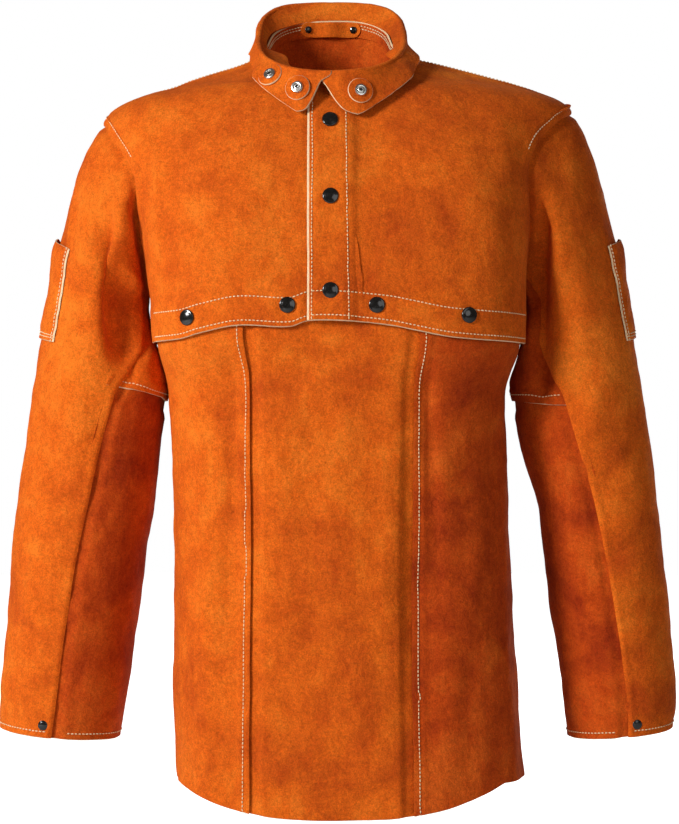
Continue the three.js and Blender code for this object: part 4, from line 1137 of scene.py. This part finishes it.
def make_stitch_tree():
    """A long ball of thread at each place along the lines, varied a little in its length and lean."""
    inputs = [
        ("Geometry", "NodeSocketGeometry", None),
        ("Pitch", "NodeSocketFloat", 0.0033),
        ("Stitch Length", "NodeSocketFloat", 0.0027),
        ("Thread Radius", "NodeSocketFloat", 0.00045),
        ("Finish", "NodeSocketMaterial", None),
    ]
    outputs = [("Geometry", "NodeSocketGeometry", None)]
    tree, given, result = node_tree("GeometryNodeTree", "stitching", inputs, outputs)
    tree.is_modifier = True
    points = add_node(tree, "GeometryNodeCurveToPoints", {"mode": "LENGTH"})
    ball = add_node(tree, "GeometryNodeMeshUVSphere", None, {"Segments": 8, "Rings": 6, "Radius": 1.0})
    size = add_node(tree, "ShaderNodeCombineXYZ")
    half = add_node(tree, "ShaderNodeMath", {"operation": "MULTIPLY"}, {1: 0.5})
    spans = {"Seed": 7, 2: 0.88, 3: 1.06}
    varied = add_node(tree, "FunctionNodeRandomValue", {"data_type": "FLOAT"}, spans)
    long = add_node(tree, "ShaderNodeMath", {"operation": "MULTIPLY"})
    leans = {"Seed": 11, 0: (-0.09, -0.09, 0.0), 1: (0.09, 0.09, 0.0)}
    lean = add_node(tree, "FunctionNodeRandomValue", {"data_type": "FLOAT_VECTOR"}, leans)
    tilt = add_node(tree, "FunctionNodeRotateRotation", {"rotation_space": "LOCAL"})
    place = add_node(tree, "GeometryNodeInstanceOnPoints")
    real = add_node(tree, "GeometryNodeRealizeInstances")
    smooth = add_node(tree, "GeometryNodeSetShadeSmooth")
    finish = add_node(tree, "GeometryNodeSetMaterial")
    linked(
        tree,
        (given.outputs["Geometry"], points.inputs["Curve"]),
        (given.outputs["Pitch"], points.inputs["Length"]),
        (given.outputs["Stitch Length"], half.inputs[0]),
        (half.outputs[0], long.inputs[0]),
        (varied.outputs[1], long.inputs[1]),
        (given.outputs["Thread Radius"], size.inputs[0]),
        (given.outputs["Thread Radius"], size.inputs[1]),
        (long.outputs[0], size.inputs[2]),
        (points.outputs["Points"], place.inputs["Points"]),
        (ball.outputs["Mesh"], place.inputs["Instance"]),
        (points.outputs["Rotation"], tilt.inputs[0]),
        (lean.outputs[0], tilt.inputs[1]),
        (tilt.outputs[0], place.inputs["Rotation"]),
        (size.outputs[0], place.inputs["Scale"]),
        (place.outputs["Instances"], real.inputs["Geometry"]),
        (real.outputs["Geometry"], smooth.inputs["Geometry"]),
        (smooth.outputs["Geometry"], finish.inputs["Geometry"]),
        (given.outputs["Finish"], finish.inputs["Material"]),
        (finish.outputs["Geometry"], result.inputs["Geometry"]),
    )
    return tree


def input_key(tree, label):
    items = tree.interface.items_tree
    return next(item.identifier for item in items if item.name == label and item.in_out == "INPUT")


def baked(name, source, tree, values):
    """Runs a tree on an object and keeps the result as a plain mesh."""
    modifier = source.modifiers.new(name, "NODES")
    modifier.node_group = tree
    for label, value in values.items():
        modifier[input_key(tree, label)] = value
    bpy.context.view_layer.update()
    evaluated = source.evaluated_get(bpy.context.evaluated_depsgraph_get())
    mesh = bpy.data.meshes.new_from_object(evaluated)
    mesh.name = name
    source.modifiers.remove(modifier)
    bpy.data.objects.remove(source)
    obj = bpy.data.objects.new(name, mesh)
    bpy.context.scene.collection.objects.link(obj)
    return obj


def make_stitches(name, lines):
    curve = bpy.data.curves.new(name, "CURVE")
    curve.dimensions = "3D"
    for line in lines:
        spline = curve.splines.new("POLY")
        spline.points.add(len(line) - 1)
        spline.points.foreach_set("co", np.hstack([line * MILLIMETRE, np.ones((len(line), 1))]).ravel())
    source = bpy.data.objects.new(name, curve)
    bpy.context.scene.collection.objects.link(source)
    values = {
        "Pitch": STITCH_PITCH * MILLIMETRE,
        "Stitch Length": STITCH_LENGTH * MILLIMETRE,
        "Thread Radius": THREAD_RADIUS * MILLIMETRE,
        "Finish": thread,
    }
    stitches = baked(name, source, stitch_tree, values)
    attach(stitches, "root")


stitch_tree = make_stitch_tree()

# Turned hardware


def turned(name, profile, centre, normal, finishes, nodes, slot, sides=40):
    """A turned piece: rows of radius, height and finish, on an axis along the leather's normal."""
    axis = Vector(normal).normalized()
    across = axis.orthogonal().normalized()
    other = axis.cross(across)
    vertices, faces, marks = [], [], []
    turns = np.linspace(0, 2 * math.pi, sides, endpoint=False)
    for radius, height, _ in profile:
        for turn in turns:
            spoke = across * math.cos(turn) + other * math.sin(turn)
            vertices.append(np.array(Vector(centre) + spoke * radius + axis * height))
    for row in range(len(profile) - 1):
        for k in range(sides):
            low, after = row * sides, (k + 1) % sides
            faces.append([low + k, low + after, low + sides + after, low + sides + k])
            marks.append(profile[row + 1][2])
    for ring, mark in ((0, profile[0][2]), (len(profile) - 1, profile[-1][2])):
        loop = [ring * sides + k for k in range(sides)]
        faces.append(loop[::-1] if ring == 0 else loop)
        marks.append(mark)
    obj = mesh_from(name, np.array(vertices), faces, finishes, marks, 38)
    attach(obj, "root")
    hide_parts(*nodes)


def cap_profile(radius, height, behind):
    """A domed snap cap with a rolled rim, from its plate behind the leather to its top."""
    plate, shank = radius * 0.62, radius * 0.28
    rows = [(plate, -behind - 0.9, 1), (plate, -behind, 1), (shank, -behind, 1), (shank, 0, 1)]
    return rows + [(radius * out, height * up, 0) for out, up in CAP_ROWS]


def ring_profile(outer, inner, thickness):
    """A leather washer with soft shoulders, closed on itself."""
    return [
        (inner, 0.1, 1),
        (inner + 0.4, thickness, 1),
        (outer - 1.4, thickness + 0.1, 0),
        (outer - 0.5, thickness - 0.1, 0),
        (outer, thickness * 0.35, 1),
        (outer - 0.2, -0.2, 1),
        (inner + 0.2, -0.2, 0),
    ]


def stud_profile(radius, height):
    """A ring-shaped snap socket: rolled rim, dished middle and a shallow hole finished black, painted shade
    for the depth of the hole.
    """
    rim = [(radius * out, height * up, 0) for out, up in STUD_ROWS]
    hole = [(radius * 0.2, height * 0.3, 1), (radius * 0.04, height * 0.2, 1)]
    return [(radius * 0.8, -0.2, 0), *rim, *hole]


# Lines on the panels


def on_torso(places):
    """Places on the torso for a list of (x, z) seen from the front."""
    x, z = np.array(places, float).T
    return torso_point(torso_angle_at_x(x, z), z)


def armhole_line(side, quarters):
    places = [armhole_place(side, quarter % 4) for quarter in quarters]
    return torso_point(np.array([angle for angle, _ in places]), np.array([z for _, z in places]))


def shoulder_line(side, count=24):
    return torso_point(np.full(count, side * math.pi / 2), grown(count, NECK_LEVEL, -ARMHOLE_TOP[side]))


def ridge_line(side, count=12):
    return torso_point(np.full(count, side * math.pi / 2), grown(count, -ARMHOLE_FOOT, -YOKE_DROP))


def hem_line(from_x, to_x, up, count=70):
    x = grown(count, from_x, to_x)
    angle = torso_angle_at_x(x, np.full(count, 10.0 - YOKE_DROP))
    return torso_point(angle, hem_height(angle) + up)


def hem_ring(up, count=160):
    """A line round the back, above the hem."""
    angle = grown(count, math.pi / 2 + 0.03, 1.5 * math.pi - 0.03)
    return torso_point(angle, np.full(count, up - YOKE_DROP))


def moved_in(path, towards, distance):
    """The path, shifted across its panel towards a place on it."""
    along = np.gradient(path, axis=0)
    across = np.cross(along, np.cross(towards - path, along))
    return path + unit(across) * distance


def placket_lines():
    """The rows of thread beside the opening, down to the hem."""
    z = grown(60, NECK_FRONT_HEIGHT - 3, HEM_RISE - YOKE_DROP + 1.5)
    left = np.full_like(z, FRONT_EDGE_LEFT + 2.6)
    right = mix(7.0, 9.5, (z - z[0]) / (z[-1] - z[0]))
    return [torso_point(torso_angle_at_x(column, z), z) for column in (left, right)]


chest = {side: on_torso([(side * CHEST_PLACE[0], CHEST_PLACE[1])])[0] for side in (1, -1)}
snap_places = [on_torso([place])[0] for place in [*PLACKET_SNAPS.values(), *BIB_SNAPS.values()]]

# Yoke


def yoke_front(side):
    grid = front_grid(side)
    points = grid.points
    x = points[..., 0]
    armhole, shoulder, ridge = armhole_line(side, ARMHOLE_QUARTERS), shoulder_line(side), ridge_line(side)
    relief = lapped(points, np.concatenate([shoulder, armhole, ridge]))
    hem_start, hem_end = (FRONT_EDGE_LEFT + 4, 182) if side > 0 else (FRONT_EDGE_LEFT - 4, -178)
    rows = [
        beside_armhole(side, grown(40, 0, STITCHED_QUARTERS), ARMHOLE_STITCH),
        moved_in(shoulder, chest[side], SHOULDER_STITCH),
        hem_line(hem_start, hem_end, HEM_STITCH),
        hem_line(hem_start, hem_end, BAND_STITCH),
    ]
    if side > 0:
        rows += placket_lines()
    for line in rows:
        relief += pressed(points, line)
    for centre in snap_places:
        relief += dimple(points, centre, SNAP_RADIUS)
    up = points[..., 2] - hem_height(torso_angle_at_x(x, points[..., 2]))
    relief += 0.5 * (1 - ease((up - FACING_HEIGHT + 1) / 5)) * (np.abs(x) < 186)
    relief += folds(points, YOKE_FOLDS)
    relief += uneven(points, 46, 0.9, 2 + side) + uneven(points, 13, 0.28, 8 + side)
    if side > 0:
        fade = 1 - ease((x - FRONT_EDGE_RIGHT) / OVERLAP_FADE)
        relief = mix(relief, np.maximum(relief, -0.4), fade) + 2 * LAYER * fade
        relief -= 0.5 * np.exp(-(((x - FRONT_EDGE_RIGHT - 2) / 2.4) ** 2))
        name, cut, slant = "right", (0, 1, 1, 0), (0, 0.7, EDGE_SLANT, 0)
    else:
        under = 1 - ease((FRONT_EDGE_LEFT - 3 - x) / 4)
        relief = mix(relief, np.minimum(relief, -0.2), under)
        name, cut, slant = "left", (0, 1, 0, 0), (0, 0.7, 0, 0)
    panel = leather_panel("yoke_" + name, grid, relief, ["yoke_front_" + name], cut, slant)
    sew(panel, *rows)


def yoke_back():
    grid = back_grid()
    points = grid.points
    relief = np.zeros(points.shape[:2])
    rows = [hem_ring(HEM_STITCH), hem_ring(BAND_STITCH)]
    for side in (1, -1):
        armhole = armhole_line(side, BACK_QUARTERS)
        seams = [shoulder_line(side), ridge_line(side)]
        shared = ease((distance_to(points, np.concatenate(seams)) - 8) / 12)
        for seam in seams:
            relief += tucked_under(points, seam)
        relief += lapped(points, armhole) * shared
        rows.append(beside_armhole(side, BACK_QUARTERS, ARMHOLE_STITCH))
    for line in rows:
        relief += pressed(points, line)
    relief += uneven(points, 60, 1.6, 5) + uneven(points, 14, 0.3, 9)
    panel = leather_panel("yoke_rear", grid, relief, ["yoke_back"], (1, 1, 0, 0), (0.6, 0.8, 0, 0))
    sew(panel, *rows)


def facing_strip(name, grid, level, node, rows, columns):
    """A strip inside the yoke, on some rows and columns of a panel's grid."""
    part = Grid(grid.points[rows, columns], grid.normals[rows, columns])
    relief = np.full(part.points.shape[:2], level)
    leather_panel(name, part, relief, [node], (0, 1, 1, 1), thickness=1.3)


def yoke_facings():
    right, left = front_grid(1), front_grid(-1)
    middle = right.points[right.points.shape[0] // 2, :, 0]
    strip = slice(2, int(np.searchsorted(middle, FRONT_EDGE_RIGHT)))
    facing_strip("opening_facing", right, LAYER - 0.35, "placket_facing", slice(19, -2), strip)
    band = slice(-9, -1)
    beyond = int(np.searchsorted(middle, FRONT_EDGE_RIGHT + OVERLAP_FADE + 3))
    facing_strip("hem_facing_right_strip", right, -LAYER - 0.3, "hem_facing_right", band, slice(beyond, -4))
    facing_strip("hem_facing_left_strip", left, -LAYER - 0.3, "hem_facing_left", band, slice(1, -4))


# Sleeves


def sleeve_front(v):
    """The quarter turn of the sleeve's front seam."""
    return reading(SLEEVE_SEAM, "front", np.clip(v, 0, 2))


def sleeve_relief(grid, side, seed):
    """Folds, which only the front has, and swells."""
    points = grid.points
    in_front = ease((0.1 - grid.normals[..., 1]) / 0.6)
    relief = folds(points, SLEEVE_FOLDS[side]) * in_front
    return relief + uneven(points, 52, 1.5, seed) + uneven(points, 14, 0.35, seed + 3)


def away_from_yoke(side, points, reach):
    return ease((distance_to(points, armhole_line(side, grown(90, 0, 4))) - 2) / reach)


def near_yoke(side, points):
    """One on the border under the yoke, falling to nothing just outside the armhole's edge."""
    return 1 - away_from_yoke(side, points, 7)


def under_the_yoke(side, points, relief):
    """The relief, dropped on the border that the yoke covers."""
    return relief * away_from_yoke(side, points, 14) - UNDER_DROP * near_yoke(side, points)


def underarm_line(surface, side, quarters, above=0.0):
    return surface.point(quarters, UNDERARM_LAP - above - underarm_shift(side, quarters, 1.0))


def sleeve_over(side, surface, name, seams):
    grid = sleeve_grid(surface, side, HEAD_ROWS, 120, True, True)
    points = grid.points
    relief = under_the_yoke(side, points, sleeve_relief(grid, side, 21 + side))
    for seam in seams:
        away = distance_to(points, seam)
        relief += 0.7 * (1 - ease((away - 2) / 8)) - 1.6 * (1 - ease(away / 3.2))
    hem = surface.point(grown(60, -0.9, 0.9), 2 - CUFF_STITCH)
    relief += pressed(points, hem)
    relief += dimple(points, surface.point(*CUFF_SNAP_PLACE), CUFF_SNAP_RADIUS, 0.5)
    nodes = ["sleeve_top_" + name]
    panel = leather_panel("sleeve_over_" + name, grid, relief, nodes, (0, 1, 0, 0), (0, 0.9, 0, 0))
    sew(panel, hem)


def sleeve_inner(side, surface, name, seams, gusset):
    """The gusset, which laps on to the panel below it, or that panel."""
    rows = grown(80, 0, UNDERARM_LAP) if gusset else grown(94, 0.9, 2)
    grid = sleeve_grid(surface, side, rows, 110, False, gusset)
    points = grid.points
    relief = sleeve_relief(grid, side, 31 + side)
    for seam in seams:
        relief += tucked_under(points, seam, 3.0)
    if gusset:
        away = np.minimum(distance_to(points, seams[0]), distance_to(points, seams[1]))
        relief = under_the_yoke(side, points, relief)
        relief += lapped(points, points[-1]) * ease((away - 6) / 8)
        line = underarm_line(surface, side, grown(50, 1.25, 2.7), UNDERARM_STITCH)
    else:
        quarters = grown(70, sleeve_front(1.0), 4 - sleeve_front(1.0))
        relief += tucked_under(points, underarm_line(surface, side, quarters), 9) * (rows < 1.1)[:, None]
        line = surface.point(grown(60, 1.15, 2.85), 2 - CUFF_STITCH)
    relief += pressed(points, line)
    part, node, slant = ("gusset", "gusset", 0.7) if gusset else ("below", "under", 0.9)
    # The right gusset and the lower panels take the darker suede: painted shade on the side away from the
    # light and under the arms
    face = BODY_FACE if gusset and side < 0 else PAINTED_SHADE_FACE
    nodes = [f"sleeve_{node}_{name}"]
    cut, slants = (0, 1, 0, 0), (0, slant, 0, 0)
    panel = leather_panel(f"arm_{part}_{name}", grid, relief, nodes, cut, slants, face=face)
    sew(panel, line)


def sleeve(side, surface, name):
    whole = grown(90, 0, 2)
    front = sleeve_front(whole)
    seams = [surface.point(front, whole), surface.point(4 - front, whole)]
    sleeve_over(side, surface, name, seams)
    sleeve_inner(side, surface, name, seams, True)
    sleeve_inner(side, surface, name, seams, False)


def pocket(side, name):
    """A patch on the outside of the sleeve that gapes at its top front corner."""
    grid = pocket_grid(side)
    points = grid.points
    rows, columns = points.shape[:2]
    down, forward = grown(rows)[:, None], grown(columns)[None, :]
    gape = 3.4 * (1 - ease(down / 0.5)) * np.exp(-(((forward - 0.72) / 0.28) ** 2))
    sewn_edge = np.minimum(np.minimum(forward, 1 - forward) * 1.7, 1 - down)
    relief = LAYER + 0.45 + 0.9 * ease(sewn_edge / 0.2) * ease(down / 0.1) + gape * ease(sewn_edge / 0.12)
    relief = relief + sleeve_relief(grid, side, 21 + side) + uneven(points, 20, 0.5, 44)
    middle = points[rows // 2, columns // 2]
    near, far = POCKET_STITCHES
    lines = [moved_in(edge, middle, near) for edge in (points[:, -1], points[:, 0], points[-1])]
    lines.append(moved_in(points[-1], middle, far))
    for line in lines:
        relief += pressed(points, line)
    nodes = ["sleeve_pocket_" + name]
    panel = leather_panel("pocket_" + name, grid, relief, nodes, (1, 1, 1, 1), (0.4, 0.6, 0.8, 1.3), 1.4)
    sew(panel, *lines)


# Bib


def bib_line(x, count=120):
    z = -BIB_TOP_DROP - grown(count) * BIB_LENGTH
    return bib_point(bib_angle_at_x(np.full_like(z, x), z), z)


def bib_back_edge(side):
    return lambda z: np.full_like(z, side * BIB_WRAP)


def bib_piece(name, node, from_at, to_at, columns, laps, under):
    """A panel of the bib. Laps are edges on another panel, with a place on this one; under are hidden."""
    grid = bib_grid(from_at, to_at, columns)
    points = grid.points
    below = -points[..., 2] - BIB_TOP_DROP
    relief = np.full(points.shape[:2], float(BIB_OFFSET))
    relief += folds(points, BIB_FOLDS) * ease((below - 30) / 60)
    relief += uneven(points, 70, 2.2, 51) * ease((below - 40) / 80)
    relief += uneven(points, 15, 0.35, 57)
    for seam in under:
        relief += tucked_under(points, seam, 6)
    rows = []
    for seam, towards in laps:
        relief += lapped(points, seam)
        rows.append(moved_in(seam, towards, BIB_STITCH))
    for line in rows:
        relief += pressed(points, line)
    # The right side panel takes the darker suede: painted shade on the side away from the light
    face = PAINTED_SHADE_FACE if name == "bib_right" else BODY_FACE
    panel = leather_panel(name, grid, relief, [node], (0, 1, 0, 0), (0, 0.6, 0, 0), face=face)
    sew(panel, *rows)
    return panel, grid


def bib_pieces():
    seam_left, seam_right = bib_line(BIB_SEAM_LEFT), bib_line(BIB_SEAM_RIGHT)
    side_left, side_right = bib_line(-BIB_SIDE_PLACE), bib_line(BIB_SIDE_PLACE)
    under_left, under_right = bib_seam(BIB_SEAM_LEFT, -UNDERLAP), bib_seam(BIB_SEAM_RIGHT, UNDERLAP)
    edge_left, edge_right = bib_seam(BIB_SEAM_LEFT), bib_seam(BIB_SEAM_RIGHT)
    pieces = [
        ("bib_middle", "bib_centre", under_left, under_right, 110, [], [seam_left, seam_right]),
        ("bib_left", "bib_side_left", bib_back_edge(-1), edge_left, 90, [(seam_left, side_left)], []),
        ("bib_right", "bib_side_right", edge_right, bib_back_edge(1), 90, [(seam_right, side_right)], []),
    ]
    for panel, grid in [bib_piece(*piece) for piece in pieces]:
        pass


# Collar


def collar_piece():
    grid = collar_grid()
    points = grid.points
    relief = uneven(points, 34, 0.6, 61) + uneven(points, 12, 0.22, 66)
    for number in range(len(COLLAR_STUDS["turn"])):
        relief += dimple(points, stud_place(number)[0], WASHER_RADIUS * 0.9, 0.25)
    leather_panel("collar_turned", grid, relief, ["collar"], (0, 1, 1, 1), (0, 0.5, 0.8, 0.9))


def stud_place(number):
    turn = np.array(COLLAR_STUDS["turn"][number], float)
    b = np.array(mix(FOLD_END, 1, COLLAR_STUDS["down"][number]), float)
    return collar_point(turn, b), normal_on(collar, turn, b)


# Hanging strap


def hanger_point(x, z):
    x, z = paired(x, z)
    across = (x - HANGER_CENTRE) / (HANGER_SPAN / 2)
    bow = HANGER_BOW * ease((0.72 - np.abs(across)) / 0.72)
    half, depth, square = torso_size(z, x > 0, False)
    wall = depth * (1 - (np.abs(x) / half) ** square) ** (1 / square)
    return np.stack([x, wall - LEATHER - HANGER_GAP - bow, z], -1)


hanger = Surface(hanger_point, 0.5, 0.5, 1)


def hanger_strap():
    half_length = (HANGER_SPAN + HANGER_WIDTH) / 2
    share = np.sin(grown(72, -1, 1) * math.pi / 2)[:, None]
    from_end = (1 - np.abs(share)) * half_length
    rounded = np.minimum(from_end / (HANGER_WIDTH / 2), 1)
    half = (HANGER_WIDTH / 2) * np.maximum(np.sqrt(1 - (1 - rounded) ** 2), 0.12)
    up = grown(14, -1, 1)[None, :]
    x = HANGER_CENTRE + share * half_length + 0 * up
    grid = grid_on(hanger, x, HANGER_LEVEL + up * half)
    relief = LEATHER + uneven(grid.points, 16, 0.35, 71) - 0.5 * np.abs(up) ** 6
    leather_panel("hanging_strap", grid, relief, ["hanger_loop"], (0, 0, 0, 1), (0, 0, 0, 0.6))


def neck_binding():
    """The folded-over seam inside the back of the neck, with its raw upper edge."""
    turn = grown(220, BINDING_START, 2 * math.pi - BINDING_START)[None, :]
    seam = neck_height_at(turn[0])[None, :]
    z = seam + mix(BINDING_ABOVE, -BINDING_BELOW, grown(16))[:, None]
    angle = angle_from_neck(turn + 0 * z, z)
    grid = grid_on(torso, angle, z)
    inwards = Grid(grid.points, -grid.normals)
    from_end = np.minimum(turn - turn[0, 0], turn[0, -1] - turn)
    relief = LEATHER + 0.3 + 2.2 * ease(from_end / 0.6) + uneven(inwards.points, 18, 0.3, 81)
    rows = [inwards.points[row] for row in (3, 6)]
    for line in rows:
        relief += pressed(inwards.points, line + inwards.normals[5] * 3)
    # Its seen face takes the darker suede: painted shade inside the back of the neck
    panel = leather_panel("neck_binding", inwards, relief, [], (1, 0, 0, 0), (1.4, 0, 0, 0), 1.4, PAINTED_SHADE_FACE)
    sew(panel, *rows)


# Snaps, studs and rivets


def black_cap(name, node, place, normal, size, sides=40):
    """A black cap of one size: its radius, its height and its reach behind the leather."""
    finishes = [black_enamel, dark_steel]
    turned(name, cap_profile(*size), place, normal, finishes, [node], "black_enamel", sides)


def torso_snap(name, node, x, z, lift, size):
    angle = torso_angle_at_x(np.float64(x), np.float64(z))
    normal = normal_on(torso, angle, z)
    black_cap(name, node, torso_point(angle, z) + normal * lift, normal, size)


def collar_studs():
    # The studs' shallow holes take the black enamel: painted shade in them
    leathers, metals = [suede, cut_edge], [bright_steel, black_enamel]
    for number in range(len(COLLAR_STUDS["turn"])):
        place, normal = stud_place(number)
        label = str(number + 1)
        profile, nodes = ring_profile(WASHER_RADIUS, WASHER_HOLE, LEATHER), ["collar_washer_" + label]
        turned("washer_" + label, profile, place + normal * 0.3, normal, leathers, nodes, "split_leather", 56)
        profile, nodes = stud_profile(*STUD), ["collar_stud_" + label]
        place = place + normal * (0.3 + LEATHER)
        turned("stud_" + label, profile, place, normal, metals, nodes, "bright_steel")


def hanger_rivets():
    for name, end in (("left", -0.5), ("right", 0.5)):
        x, z = np.float64(HANGER_CENTRE + end * HANGER_SPAN), np.float64(HANGER_LEVEL)
        normal = normal_on(hanger, x, z)
        place = hanger_point(x, z) + normal * LEATHER
        black_cap("rivet_" + name, "hanger_rivet_" + name, place, normal, RIVET, 28)


# Everything in its order

yoke_front(-1)
yoke_front(1)
yoke_back()
yoke_facings()
for side, surface, name in ((-1, sleeve_left, "left"), (1, sleeve_right, "right")):
    sleeve(side, surface, name)
    pocket(side, name)
bib_pieces()
collar_piece()
hanger_strap()
neck_binding()
for name, (x, z) in PLACKET_SNAPS.items():
    torso_snap("placket_cap_" + name, "placket_snap_" + name, x, z, 2 * LAYER - 0.3, PLACKET_SNAP)
for number, (x, z) in BIB_SNAPS.items():
    torso_snap(f"bib_cap_{number}", f"bib_snap_{number}", x, z, 0.1, BIB_SNAP)
for surface, name in ((sleeve_left, "left"), (sleeve_right, "right")):
    normal = normal_on(surface, *map(np.float64, CUFF_SNAP_PLACE))
    place = surface.point(*CUFF_SNAP_PLACE) - normal * 0.2
    black_cap("cuff_cap_" + name, "cuff_snap_" + name, place, normal, CUFF_SNAP)
collar_studs()
hanger_rivets()
make_stitches("stitches", stitch_lines)

# Camera, light and floor


def put_in_scene(name, data):
    obj = bpy.data.objects.new(name, data)
    bpy.context.scene.collection.objects.link(obj)
    return obj


camera = put_in_scene("camera", bpy.data.cameras.new("camera"))
camera.location = CAMERA_PLACE
camera.rotation_euler = (math.pi / 2, 0, 0)
camera.data.sensor_width = 36
camera.data.lens = CAMERA_LENS
bpy.context.scene.camera = camera

for name, place, size, power in LIGHTS:
    light = put_in_scene(name, bpy.data.lights.new(name, "AREA"))
    light.data.shape = "DISK"
    light.data.size = size
    light.data.energy = power
    light.location = place
    light.rotation_euler = (Vector(LIGHT_TARGET) - Vector(place)).to_track_quat("-Z", "Y").to_euler()
bpy.context.scene.view_settings.view_transform = "Standard"

# The camera sees white air, which lights the leather only faintly.
world = bpy.data.worlds.new("studio")
world.use_nodes = True
air = world.node_tree
seen = air.nodes.new("ShaderNodeLightPath").outputs["Is Camera Ray"]
studio = air.nodes["Background"]
brightness = spread(air, seen, 0, 1, AIR_STRENGTH, 1)
colour = colour_mix(air, seen, WARM_AIR, WHITE)
linked(air, (colour, studio.inputs["Color"]), (brightness, studio.inputs["Strength"]))
bpy.context.scene.world = world

pale, pale_tree, pale_shader, _ = new_finish("pale_floor")
set_inputs(pale_shader, {"Base Color": FLOOR_TONE, "Roughness": 0.8, "Emission Color": WHITE})
seen = pale_tree.nodes.new("ShaderNodeLightPath").outputs["Is Camera Ray"]
linked(pale_tree, (seen, pale_shader.inputs["Emission Strength"]))
turns = grown(64, 0, 2 * math.pi)[:-1]
floor_mesh = bpy.data.meshes.new("floor")
corners = [(FLOOR_RADIUS * math.cos(turn), FLOOR_RADIUS * math.sin(turn), FLOOR_LEVEL) for turn in turns]
floor_mesh.from_pydata(corners, [], [list(range(len(corners)))])
floor_mesh.materials.append(pale)
floor = put_in_scene("floor", floor_mesh)
